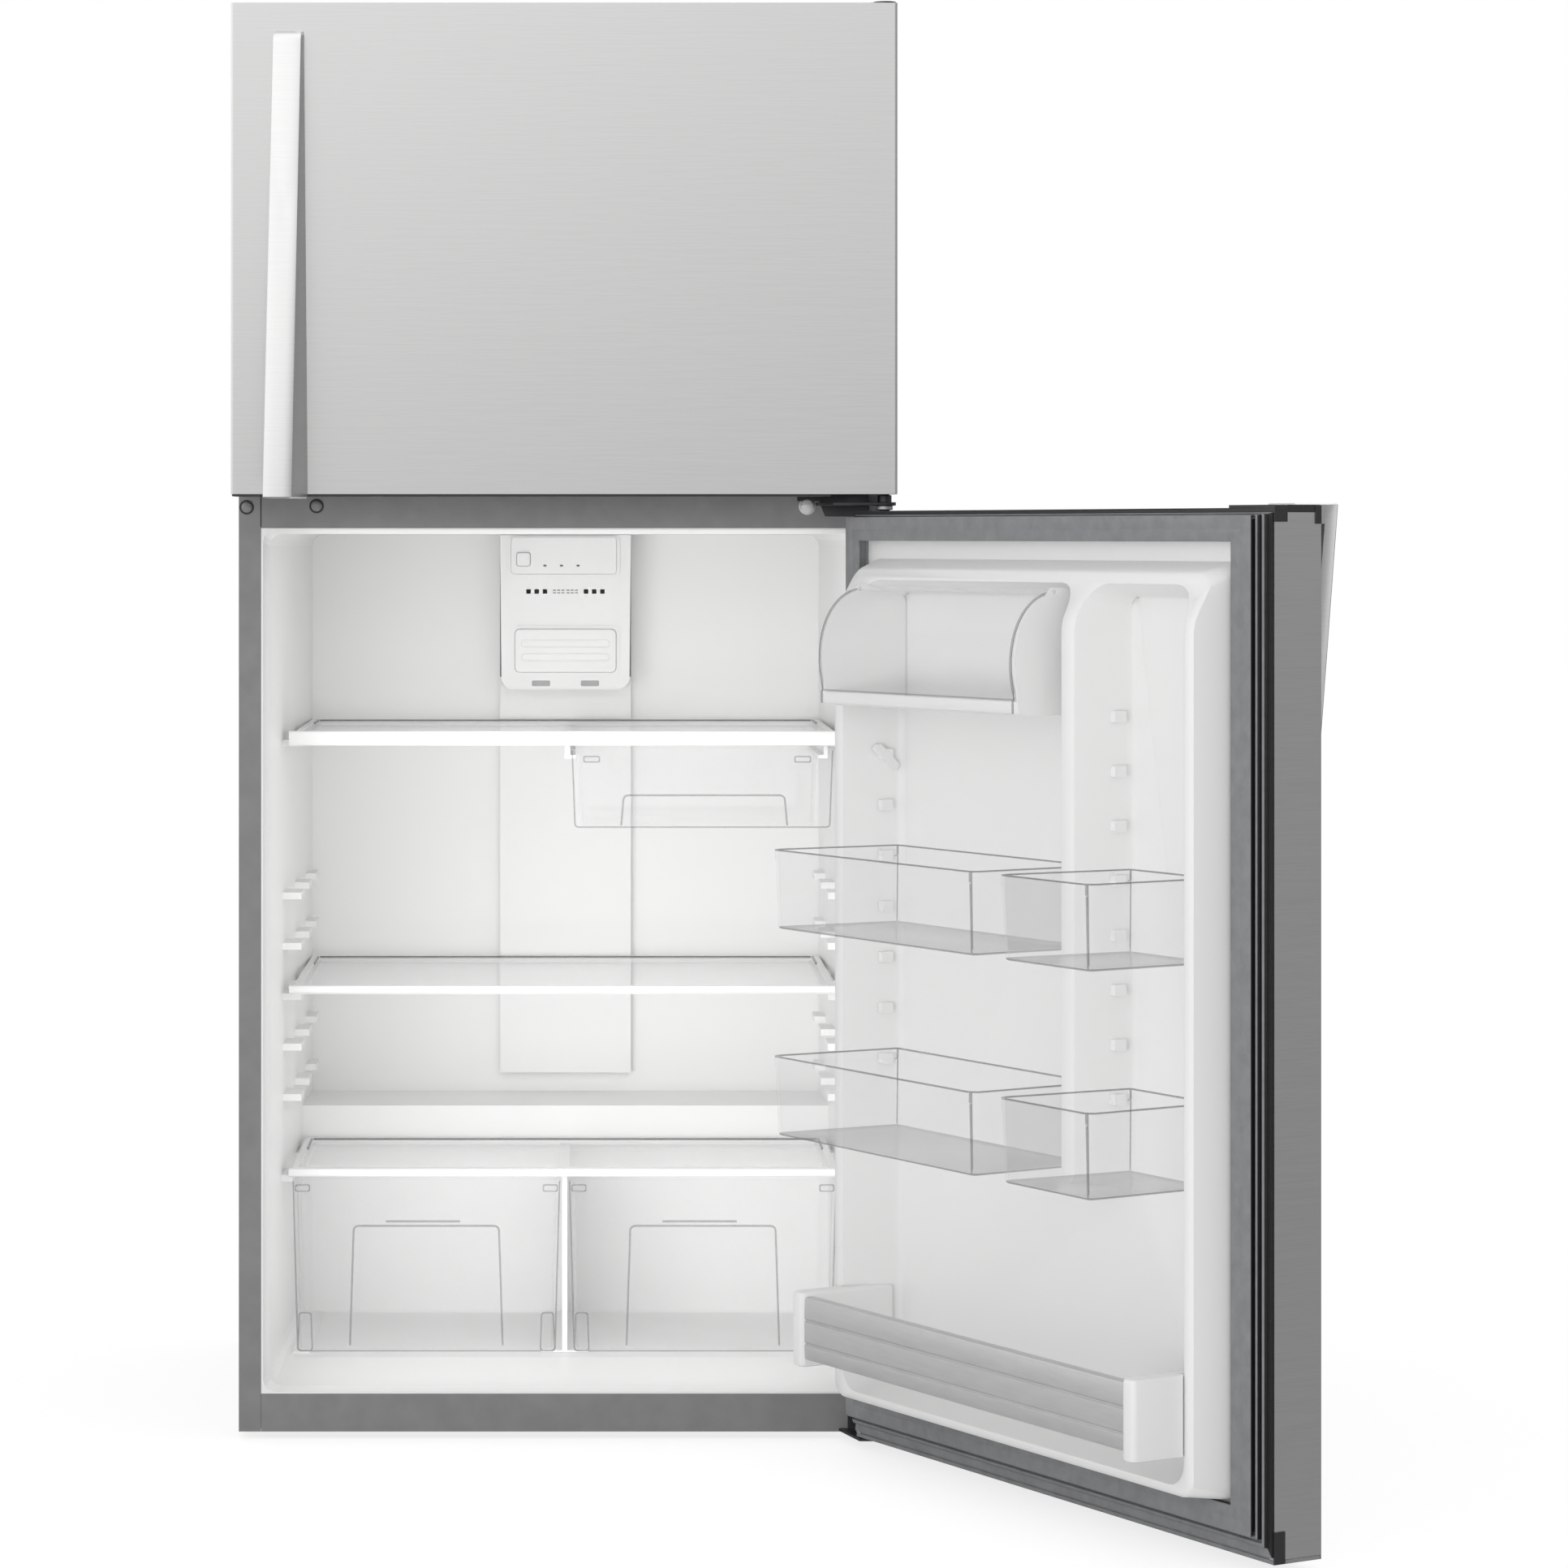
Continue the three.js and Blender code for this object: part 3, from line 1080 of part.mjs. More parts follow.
// The wall x at a depth: of the recess's sides and of the rib's.
function recessWall(depth) {
  return CREST_INNER - between(depth, [RECESS_FLOOR, RECESS_DRAFT], [DYKE_CREST, 0]);
}

function ribWall(depth) {
  return between(depth, [RECESS_FLOOR - 10, RIB_DRAFT], [DYKE_CREST, 0]);
}

function lugZ(row) {
  return LUG_TOP - row * LUG_PITCH;
}

// The lugs on both sides of the wide and the narrow column, which carry the bins.
function doorLugs() {
  const depth = LUG_DEPTH[0];
  const walls = [
    [recessWall(depth) + 1, -LUG_REACH - 1],
    [RIB_RIGHT + ribWall(depth) - 1, LUG_REACH + 1],
    [RIB_LEFT - ribWall(depth) + 1, -LUG_REACH - 1],
    [-recessWall(depth) - 1, LUG_REACH + 1],
  ];
  return Array.from({ length: LUG_ROWS }, (_, row) => lugZ(row)).flatMap((z) =>
    walls.map(([wall, reach]) => {
      const across = [wall, wall + reach].sort((a, b) => a - b);
      return box(across, LUG_DEPTH, [z - LUG_HEIGHT, z]);
    }),
  );
}

// A door's formed liner: its flange, the hollow rim and the recess, with a rib for the bins.
function doorLiner([low, high], recessSpan, rimSpan, withRib) {
  const flange = box(grown([-DOOR_X, DOOR_X], -4), [LINER_FLANGE, FLANGE_FACE], [low, high]);
  const aheadOfCrest = box([-DOOR_X, DOOR_X], [DYKE_CREST, DYKE_CREST + 10], [low, high]);
  const outsideOfRecess = cut(recess(recessSpan, PLASTIC), aheadOfCrest);
  const space = cut(recess(recessSpan, 0), ...(withRib ? [rib(0)] : []));
  const hollow = cut(dyke(rimSpan, PLASTIC, LINER_FLANGE - 1), recess(recessSpan, PLASTIC));
  const raised = cut(join(flange, dyke(rimSpan, 0, LINER_FLANGE)), hollow);
  const formed = cut(join(raised, outsideOfRecess), space, ...(withRib ? [rib(-PLASTIC)] : []));
  return withRib ? join(formed, ...doorLugs()) : formed;
}

// The foam between the wrap, the caps' plugs and the liner.
function doorFoam([bottom, top], recessSpan, rimSpan, withRib) {
  const inner = SHEET + TOUCH;
  const span = grown([bottom, top], -CAP_THICKNESS - CAP_PLUG - TOUCH);
  const across = grown([-DOOR_X, DOOR_X], -inner);
  const core = prism("z", rounded(across, [inner, DOOR_STEEL - inner], DOOR_EDGE_RADIUS - inner), span);
  const behindFlange = box(
    grown([-DOOR_X, DOOR_X], -DOOR_LIP - TOUCH),
    [DOOR_STEEL - inner - 1, LINER_FLANGE - TOUCH],
    span,
  );
  const rim = dyke(rimSpan, PLASTIC + TOUCH, LINER_FLANGE - TOUCH - 1);
  const tray = recess(recessSpan, PLASTIC + TOUCH);
  const hollow = withRib ? cut(tray, rib(-PLASTIC - TOUCH)) : tray;
  return cut(join(core, behindFlange, rim), hollow);
}

// ---------------------------------------------------------------- door furniture

// One bar with its slanted web: the pocket behind its face is open towards the door's edge.
// It is drawn with its proud end at z = 0 and runs along up, +1 or -1.
function handle(up) {
  const section = (left, proud, web, inset) => [
    [left + inset, -proud + inset],
    [left + HANDLE_WIDTH - inset, -proud + inset],
    [left + HANDLE_WIDTH + web, -TOUCH],
    [left + 3, -TOUCH],
  ];
  const start = -DOOR_X + HANDLE_INSET;
  const end = start + HANDLE_LEAN;
  const near = section(start, HANDLE_PROUD, HANDLE_WEB, 0);
  const far = section(end, HANDLE_LOW, 2, 0);
  const pocket = (left, proud) => [
    [left - 20, -proud + HANDLE_FACE],
    [left + HANDLE_WIDTH - 5, -proud + HANDLE_FACE],
    [left + HANDLE_WIDTH + HANDLE_WEB * ((proud - HANDLE_FACE) / HANDLE_PROUD) - 7, 1],
    [left - 20, 1],
  ];
  const z = [0, up * HANDLE_LENGTH];
  const inner = [up * HANDLE_END, up * (HANDLE_LENGTH - HANDLE_FOOT)];
  const at = (value) => between(Math.abs(value), [0, 0], [HANDLE_LENGTH, 1]);
  const mix = (value) =>
    pocket(start + HANDLE_LEAN * at(value), HANDLE_PROUD + (HANDLE_LOW - HANDLE_PROUD) * at(value));
  const ordered = (from, a, to, b) => (from < to ? ["z", a, from, b, to] : ["z", b, to, a, from]);
  const body = loft(...ordered(z[0], near, z[1], far));
  return cut(body, loft(...ordered(inner[0], mix(inner[0]), inner[1], mix(inner[1]))));
}

const HOOK_SHEET = 3;

// Hooks that rest on lugs whose tops are TOUCH below seat, one for each stretch of x.
function hooks(stretches, seat) {
  const lip = [LUG_DEPTH[1] + 1, LUG_DEPTH[1] + 1 + HOOK_SHEET];
  return stretches.flatMap((across) => [
    box(across, [LUG_DEPTH[0] - 3, lip[1]], [seat, seat + HOOK_SHEET]),
    box(across, lip, [seat - 6, seat + HOOK_SHEET]),
  ]);
}

// A door bin from x = 0 to its width and from z = 0 up, with a hook at each end over its lug.
function doorBin(width, reachRight, reachLeft) {
  const outer = (by) => {
    const [x0, x1] = grown([0, width], -by);
    const r = BIN_CORNER - Math.min(by, 4);
    return [
      [x0 + BIN_TAPER, BIN_BACK + by],
      [x1 - BIN_TAPER, BIN_BACK + by],
      ...arc([x1 - r, BIN_FRONT - by - r], r, 0, 90, 3),
      ...arc([x0 + r, BIN_FRONT - by - r], r, 90, 180, 3),
    ];
  };
  const body = loft("z", outer(4), 0, outer(0), BIN_HEIGHT);
  const hollow = loft("z", outer(4 + BIN_WALL), BIN_WALL, outer(BIN_WALL), BIN_HEIGHT + 1);
  const stretches = [
    [width - BIN_TAPER - 1, width + reachRight],
    [-reachLeft, BIN_TAPER + 1],
  ];
  return join(cut(body, hollow), ...hooks(stretches, BIN_HEIGHT - BIN_RISE + TOUCH));
}

// The curve of the dairy cover, from its hinge down to its lower edge, as [depth, height] pairs.
function dairyCurve(offset) {
  const pivot = [DAIRY_HINGE_DEPTH, DAIRY_HINGE_HEIGHT];
  const curve = new THREE.CubicBezierCurve(
    new THREE.Vector2(pivot[0], pivot[1]),
    new THREE.Vector2(pivot[0] + 44, pivot[1] - 4),
    new THREE.Vector2(pivot[0] + 66, pivot[1] - 60),
    new THREE.Vector2(pivot[0] + 48, DAIRY_FLOOR + DAIRY_LIP + 1.5),
  );
  return curve.getPoints(9).map((point, i) => {
    const tangent = curve.getTangent(i / 9);
    return [point.x + tangent.y * offset, point.y - tangent.x * offset];
  });
}

const DAIRY_PIN = 2.2;
const COVER_SIDE_GAP = 0.6;

function dairyCover() {
  const outline = [...dairyCurve(-1.2), ...dairyCurve(1.2).reverse()];
  const across = grown([DAIRY_LEFT, DAIRY_RIGHT], -DAIRY_WALL - COVER_SIDE_GAP);
  const axis = [DAIRY_HINGE_DEPTH, DAIRY_HINGE_HEIGHT];
  const barrel = rod("x", axis, across, 3, 10);
  const pins = rod("x", axis, grown(across, COVER_SIDE_GAP + 2), DAIRY_PIN, 10);
  return join(prism("x", outline, across), barrel, pins);
}

// The dairy tray: its floor with a front lip, and an end wall each side that holds the cover's pins.
function dairyTray() {
  const across = [DAIRY_LEFT, DAIRY_RIGHT];
  const back = RECESS_FLOOR + TOUCH;
  const front = DAIRY_HINGE_DEPTH + 48;
  const floor = box(across, [back, front], [DAIRY_FLOOR, DAIRY_FLOOR + DAIRY_WALL]);
  const lip = box(across, [front - DAIRY_WALL, front], [DAIRY_FLOOR, DAIRY_FLOOR + DAIRY_LIP]);
  const profile = [
    [back, DAIRY_FLOOR],
    [front - 1, DAIRY_FLOOR],
    [front - 1, DAIRY_FLOOR + DAIRY_LIP],
    [DAIRY_HINGE_DEPTH + 4.5, DAIRY_HINGE_HEIGHT - 18],
    [DAIRY_HINGE_DEPTH + 4.5, DAIRY_HINGE_HEIGHT + 4],
    [DAIRY_HINGE_DEPTH - 8, DAIRY_HINGE_HEIGHT + 4],
    [back, DAIRY_HINGE_HEIGHT - 10],
  ];
  const walls = [
    [DAIRY_LEFT, DAIRY_LEFT + DAIRY_WALL],
    [DAIRY_RIGHT - DAIRY_WALL, DAIRY_RIGHT],
  ].map((span) => prism("x", profile, span));
  const axis = [DAIRY_HINGE_DEPTH, DAIRY_HINGE_HEIGHT];
  const holes = rod("x", axis, grown(across, 1), DAIRY_PIN + TOUCH * 1.3, 10);
  const ears = hooks(
    [
      [RIB_RIGHT + ribWall(LUG_DEPTH[0]) + 1, DAIRY_LEFT + 1],
      [DAIRY_RIGHT - 1, recessWall(LUG_DEPTH[0]) - 1],
    ],
    LUG_TOP + TOUCH,
  );
  return join(cut(join(floor, lip, ...walls), holes), ...ears);
}

// A bracket at one end of the bottle retainer, shaped to lie on the recess's slanted side wall.
function retainerBracket(side) {
  const inner = CREST_INNER - BRACKET_WIDTH + BRACKET_OVER;
  const wall = (depth) => recessWall(depth) - TOUCH;
  const outline = [
    [inner, RECESS_FLOOR + 14],
    [wall(RECESS_FLOOR + 14), RECESS_FLOOR + 14],
    [wall(DYKE_CREST), DYKE_CREST],
    [wall(DYKE_CREST), DYKE_CREST + 2],
    [inner + BRACKET_WIDTH, DYKE_CREST + 6],
    [inner + BRACKET_WIDTH, RETAINER_FRONT + 2],
    [inner, RETAINER_FRONT + 2],
  ].map(([x, y]) => [side * x, y]);
  const height = [RETAINER_BOTTOM - 8, RETAINER_BOTTOM - 8 + BRACKET_HEIGHT];
  return prism("z", outline, height);
}

// The retainer bar, grooved along its face.
function retainerBar() {
  const half = CREST_INNER - BRACKET_WIDTH + BRACKET_OVER - TOUCH;
  const face = [RETAINER_FRONT - RETAINER_SHEET, RETAINER_FRONT];
  const up = [RETAINER_BOTTOM, RETAINER_BOTTOM + RETAINER_HEIGHT];
  const bar = box([-half, half], face, up);
  const backFolds = [up[0], up[1] - 2].map((z) => box([-half, half], [face[0] - 8, face[0] + 1], [z, z + 2]));
  const groove = grown([RETAINER_FRONT, RETAINER_FRONT], 1);
  const grooves = [up[0] + 18, up[0] + 44].map((z) => box(grown([-half, half], 1), groove, [z, z + 2]));
  return cut(join(bar, ...backFolds), ...grooves);
}

// ---------------------------------------------------------------- assembly

// A door's group turns about its pins; what hangs in it keeps the places of the shut door.
function doorGroup(parent, openDegrees) {
  const swing = new THREE.Group();
  swing.position.set(HINGE_X, HINGE_DEPTH, 0);
  swing.rotation.z = THREE.MathUtils.degToRad(openDegrees);
  const shut = new THREE.Group();
  shut.position.set(-HINGE_X, -HINGE_DEPTH, 0);
  swing.add(shut);
  parent.add(swing);
  return shut;
}

function addCabinet(cabinet) {
  piece(cabinet, "cabinet_wrapper", wrapper(), GREY_PAINT());
  piece(cabinet, "back_panel", backPanel(), GREY_PAINT());
  piece(cabinet, "base_pan", basePan(), ZINC());
  piece(cabinet, "cabinet_foam", cabinetFoam(), FOAM());
  piece(cabinet, "fresh_food_liner", freshLiner(), WHITE_LINER());
  piece(cabinet, "freezer_liner", freezerLiner(), WHITE_LINER());
  piece(cabinet, "mullion_rail", rail(MULLION_BOTTOM, MULLION_TOP), GREY_PAINT());
  piece(cabinet, "bottom_rail", rail(BOTTOM, BOTTOM_RAIL_TOP), GREY_PAINT());
  piece(cabinet, "top_hinge", topHinge(), DARK_STEEL());
  piece(cabinet, "center_hinge", centerHinge(), DARK_STEEL());
  piece(cabinet, "bottom_hinge", bottomHinge(), DARK_STEEL());
  piece(cabinet, "plug_button_outer", plugButton(), GREY_PAINT()).position.set(...PLUG_OUTER);
  piece(cabinet, "plug_button_inner", plugButton(), GREY_PAINT()).position.set(...PLUG_INNER);
  piece(cabinet, "leveling_leg_left", levelingLeg(), ZINC()).position.set(-LEG_X, LEG_Y, 0);
  piece(cabinet, "leveling_leg_right", levelingLeg(), ZINC()).position.set(LEG_X, LEG_Y, 0);
  piece(cabinet, "rear_rollers", rearRollers(), DARK_PLASTIC()).position.set(0, WHEEL_Y, WHEEL_RADIUS);
  const pump = piece(cabinet, "compressor", compressor(), BLACK_PAINT());
  pump.position.set(COMPRESSOR_X, COMPRESSOR_Y, BASE_TOP);
  piece(cabinet, "power_inlet", powerInlet(), DARK_PLASTIC()).position.set(...INLET_PLACE);
}

const PLUG_OUTER = [-CAB_X + FLANGE * 0.36, FRONT, FRIDGE_DOOR_TOP + 4.5];
const PLUG_INNER = [-OPENING_X + 64, FRONT, FRIDGE_DOOR_TOP + 6];
const INLET_PLACE = [-300, BACK - 4, STEP_TOP - BASE_SHEET - TOUCH];

function addFreshFoodInside(cabinet) {
  const shelf = [SHELF_HALF, SHELF_FRONT, SHELF_BACK];
  const cover = [SHELF_HALF, COVER_FRONT, COVER_BACK];
  piece(cabinet, "air_tower", airTower(), WHITE_PLASTIC());
  piece(cabinet, "control_housing", controlHousing(), WHITE_PLASTIC());
  piece(cabinet, "control_panel", controlPanel(), WHITE_PLASTIC());
  const button = piece(cabinet, "control_button", controlButton(), WHITE_PLASTIC());
  button.position.set(BUTTON_X, HOUSING_FRONT, BUTTON_Z);
  piece(cabinet, "light_lens", lightLens(), CLEAR());
  piece(cabinet, "upper_shelf_frame", upperShelfFrame(), WHITE_PLASTIC());
  piece(cabinet, "upper_shelf_glass", shelfGlass(...shelf, UPPER_SHELF_TOP), SHELF_GLASS());
  const lowerRing = shelfRing(...shelf, LOWER_SHELF_TOP, LOWER_TRIM_RISE, LOWER_TRIM_HEIGHT);
  piece(cabinet, "lower_shelf_frame", lowerRing, WHITE_PLASTIC());
  piece(cabinet, "lower_shelf_glass", shelfGlass(...shelf, LOWER_SHELF_TOP), SHELF_GLASS());
  piece(cabinet, "crisper_cover_frame", crisperCoverFrame(), WHITE_PLASTIC());
  piece(cabinet, "crisper_cover_glass", shelfGlass(...cover, COVER_TOP), SHELF_GLASS());
  piece(cabinet, "crisper_center_support", crisperSupport(), WHITE_PLASTIC());
  piece(cabinet, "deli_drawer", deliDrawer(), CLEAR()).position.set(DELI_LEFT, DELI_FRONT, DELI_BOTTOM);
  const width = CRISPER_OUTER - CRISPER_GAP / 2;
  const depth = HUMP_FRONT - CRISPER_FRONT - 4;
  const places = { left: -CRISPER_OUTER, right: CRISPER_GAP / 2 };
  for (const [side, x] of Object.entries(places)) {
    const drawer = piece(cabinet, `crisper_drawer_${side}`, crisperDrawer(width, depth), CLEAR());
    drawer.position.set(x, CRISPER_FRONT, CRISPER_BOTTOM);
  }
}

function addFreezerInside(cabinet) {
  piece(cabinet, "freezer_shelf", freezerShelf(), WHITE_PLASTIC());
  piece(cabinet, "evaporator_cover", evaporatorCover(), WHITE_PLASTIC());
  piece(cabinet, "evaporator", evaporator(), ALUMINIUM());
  piece(cabinet, "evaporator_fan", evaporatorFan(), DARK_PLASTIC()).position.set(0, FAN_FRONT, FAN_Z);
}

function addDoorShell(door, name, spans, withRib, topCap) {
  piece(door, `${name}_skin`, doorSkin(spans.bottom, spans.top), STAINLESS());
  piece(door, `${name}_top_cap`, topCap, DARK_PLASTIC());
  piece(door, `${name}_bottom_cap`, doorCap(spans.bottom, -1), DARK_PLASTIC());
  piece(door, `${name}_liner`, doorLiner(spans.flange, spans.recess, spans.rim, withRib), WHITE_LINER());
  const foam = doorFoam([spans.bottom, spans.top], spans.recess, spans.rim, withRib);
  piece(door, `${name}_foam`, foam, FOAM());
  piece(door, `${name}_gasket`, gasket(spans.gasket), GREY_RUBBER());
}

function addFreezerDoor(door) {
  const gasketSpan = [FREEZER_DOOR_BOTTOM + FREEZER_GASKET_BELOW, FREEZER_DOOR_TOP - FREEZER_GASKET_ABOVE];
  const rim = grown(gasketSpan, -GASKET_WIDTH - DYKE_DRAFT - 1);
  const spans = {
    bottom: FREEZER_DOOR_BOTTOM,
    top: FREEZER_DOOR_TOP,
    gasket: gasketSpan,
    flange: [FREEZER_DOOR_BOTTOM + 1, FREEZER_DOOR_TOP - 1],
    rim,
    recess: grown(rim, -DYKE_WIDTH),
  };
  addDoorShell(door, "freezer_door", spans, false, doorCap(FREEZER_DOOR_TOP, 1));
  piece(door, "freezer_handle", handle(1), STAINLESS()).position.z = FREEZER_DOOR_BOTTOM - HANDLE_OVERHANG;
}

function addFridgeDoor(door) {
  const gasketSpan = [FRIDGE_DOOR_BOTTOM + GASKET_BELOW, FRIDGE_DOOR_TOP - GASKET_ABOVE];
  const spans = {
    bottom: FRIDGE_DOOR_BOTTOM,
    top: FRIDGE_DOOR_TOP,
    gasket: gasketSpan,
    flange: [FRIDGE_DOOR_BOTTOM + 8, FRIDGE_DOOR_TOP - 3],
    rim: grown(gasketSpan, -GASKET_WIDTH - DYKE_DRAFT - 1),
    recess: [RECESS_BOTTOM, RECESS_TOP],
  };
  addDoorShell(door, "fridge_door", spans, true, fridgeDoorTopCap());
  piece(door, "fridge_handle", handle(-1), STAINLESS()).position.z = FRIDGE_DOOR_TOP + HANDLE_OVERHANG;
  addDoorFurniture(door);
}

function addDoorFurniture(door) {
  piece(door, "dairy_tray", dairyTray(), WHITE_PLASTIC());
  piece(door, "dairy_cover", dairyCover(), CLEAR());
  const wall = recessWall(LUG_DEPTH[0]) - 1;
  const ribRight = RIB_RIGHT + ribWall(LUG_DEPTH[0]) + 1;
  const ribLeft = RIB_LEFT - ribWall(LUG_DEPTH[0]) - 1;
  const wide = doorBin(WIDE_BIN_RIGHT - WIDE_BIN_LEFT, wall - WIDE_BIN_RIGHT, WIDE_BIN_LEFT - ribRight);
  const narrow = doorBin(
    NARROW_BIN_RIGHT - NARROW_BIN_LEFT,
    ribLeft - NARROW_BIN_RIGHT,
    NARROW_BIN_LEFT + wall,
  );
  for (const [row, lug] of Object.entries({ upper: UPPER_BIN_ROW, lower: LOWER_BIN_ROW })) {
    const z = lugZ(lug) + BIN_RISE - BIN_HEIGHT;
    piece(door, `${row}_bin_wide`, wide, CLEAR()).position.set(WIDE_BIN_LEFT, 0, z);
    piece(door, `${row}_bin_narrow`, narrow, CLEAR()).position.set(NARROW_BIN_LEFT, 0, z);
  }
  piece(door, "retainer_bar", retainerBar(), ALUMINIUM());
  piece(door, "retainer_bracket_hinge_side", retainerBracket(1), WHITE_PLASTIC());
  piece(door, "retainer_bracket_handle_side", retainerBracket(-1), WHITE_PLASTIC());
}

// The origin is under the middle of everything as it stands, on the floor.
function build() {
  const standing = new THREE.Group();
  const cabinet = new THREE.Group();
  standing.add(cabinet);
  addCabinet(cabinet);
  addFreshFoodInside(cabinet);
  addFreezerInside(cabinet);
  addFreezerDoor(doorGroup(standing, 0));
  addFridgeDoor(doorGroup(standing, DOOR_OPEN));
  const bounds = new THREE.Box3().setFromObject(standing, true);
  const middle = bounds.getCenter(new THREE.Vector3());
  standing.position.set(-middle.x, -middle.y, 0);
  const refrigerator = new THREE.Group();
  refrigerator.add(standing);
  return refrigerator;
}

export default build();
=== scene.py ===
import json
import math
from itertools import accumulate

import bmesh
import bpy
from mathutils import Matrix, Vector
from mathutils.geometry import tessellate_polygon

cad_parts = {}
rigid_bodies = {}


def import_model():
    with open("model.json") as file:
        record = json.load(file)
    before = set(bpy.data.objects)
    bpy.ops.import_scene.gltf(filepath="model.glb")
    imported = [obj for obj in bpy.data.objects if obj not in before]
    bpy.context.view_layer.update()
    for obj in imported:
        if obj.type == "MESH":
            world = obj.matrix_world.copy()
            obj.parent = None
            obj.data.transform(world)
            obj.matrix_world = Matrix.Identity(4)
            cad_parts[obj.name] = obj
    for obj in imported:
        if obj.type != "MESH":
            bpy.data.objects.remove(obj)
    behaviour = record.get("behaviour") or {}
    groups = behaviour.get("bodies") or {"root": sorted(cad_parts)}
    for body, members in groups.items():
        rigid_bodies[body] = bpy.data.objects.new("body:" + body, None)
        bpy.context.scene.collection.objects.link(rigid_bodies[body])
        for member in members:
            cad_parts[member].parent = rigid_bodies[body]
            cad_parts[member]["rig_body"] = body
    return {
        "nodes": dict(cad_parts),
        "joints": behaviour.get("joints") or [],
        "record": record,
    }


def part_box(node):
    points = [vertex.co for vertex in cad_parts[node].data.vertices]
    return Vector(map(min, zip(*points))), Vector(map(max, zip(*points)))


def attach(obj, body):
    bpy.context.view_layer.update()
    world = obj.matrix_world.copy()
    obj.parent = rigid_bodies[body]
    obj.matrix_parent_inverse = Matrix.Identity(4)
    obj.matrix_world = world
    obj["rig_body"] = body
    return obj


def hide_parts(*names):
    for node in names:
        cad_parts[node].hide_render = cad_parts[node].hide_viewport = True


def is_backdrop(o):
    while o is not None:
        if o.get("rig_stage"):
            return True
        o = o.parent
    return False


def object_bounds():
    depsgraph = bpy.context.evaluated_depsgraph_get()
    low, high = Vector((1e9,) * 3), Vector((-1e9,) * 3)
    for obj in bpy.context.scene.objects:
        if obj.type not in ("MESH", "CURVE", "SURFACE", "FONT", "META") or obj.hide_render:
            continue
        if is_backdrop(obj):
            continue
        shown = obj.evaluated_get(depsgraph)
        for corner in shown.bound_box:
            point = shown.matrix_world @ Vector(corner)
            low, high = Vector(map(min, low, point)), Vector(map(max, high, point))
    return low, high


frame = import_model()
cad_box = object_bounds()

# A top freezer refrigerator with its fresh food door open. Pieces are drawn in millimetres as they
# lie with both doors shut: x = 0 is the cabinet's middle, y = 0 the doors' front, z = 0 the floor.
MM = 0.001
DOOR_STAND = 80.0  # door front to cabinet front
WRAP_LOW, WRAP_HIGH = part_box("cabinet_wrapper")
ORIGIN = Vector(((WRAP_LOW.x + WRAP_HIGH.x) / 2, WRAP_LOW.y - DOOR_STAND * MM, 0))
SHUT = Matrix.Translation(ORIGIN) @ Matrix.Scale(MM, 4)


def joint(name):
    return next(j for j in frame["joints"] if j["name"] == name)


def swung(name):
    """The turn from shut to how the door stands at rest."""
    hinge = joint(name)
    pivot = Matrix.Translation(Vector(hinge["pos_m"]))
    turn = Matrix.Rotation(math.radians(-hinge["range_deg"][0]), 4, Vector(hinge["axis"]))
    return pivot @ turn @ pivot.inverted()


AJAR = swung("fridge_door_hinge") @ SHUT
PLACES = {"fridge_door": AJAR, "dairy_cover": AJAR}


def drawn(node):
    """A node's points in the drawing's millimetres."""
    obj = frame["nodes"][node]
    back = PLACES.get(obj["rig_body"], SHUT).inverted()
    return [back @ v.co for v in obj.data.vertices]


def span(node):
    """A node's extents in the drawing, as three (low, high) pairs."""
    return [(min(values), max(values)) for values in zip(*drawn(node))]


# ---- materials


class Graph:
    """The node tree of a material or world, emptied, with short calls for what it holds."""

    def __init__(self, owner, output):
        owner.use_nodes = True
        self.tree = owner.node_tree
        self.tree.nodes.clear()
        self.output = self.node(output)

    def node(self, kind, inputs=None, **values):
        """A new node, with what its inputs hold: a value or another node's output."""
        made = self.tree.nodes.new(kind)
        for key, value in values.items():
            setattr(made, key, value)
        for socket, value in (inputs or {}).items():
            if isinstance(value, bpy.types.NodeSocket):
                self.link(value, made.inputs[socket])
            else:
                made.inputs[socket].default_value = value
        return made

    def link(self, source, target):
        self.tree.links.new(source, target)

    def show(self, surface):
        self.link(surface, self.output.inputs["Surface"])

    def ranged(self, value, start, end, low, high):
        """The value, with start..end turned into low..high."""
        inputs = {"Value": value, "From Min": start, "From Max": end, "To Min": low, "To Max": high}
        return self.node("ShaderNodeMapRange", inputs).outputs[0]

    def either(self, first, second):
        return self.node("ShaderNodeMath", {0: first, 1: second}, operation="MAXIMUM").outputs[0]

    def blend(self, factor, first, second):
        """The first surface where the factor is 0, and the second where it is 1."""
        return self.node("ShaderNodeMixShader", {0: factor, 1: first, 2: second}).outputs[0]

    def glow(self, kind, strength):
        """White light from an emission or a background."""
        return self.node(kind, {"Color": (1, 1, 1, 1), "Strength": strength}).outputs[0]


NOISE_RANGE = (0.3, 0.7)  # where noise mostly stays


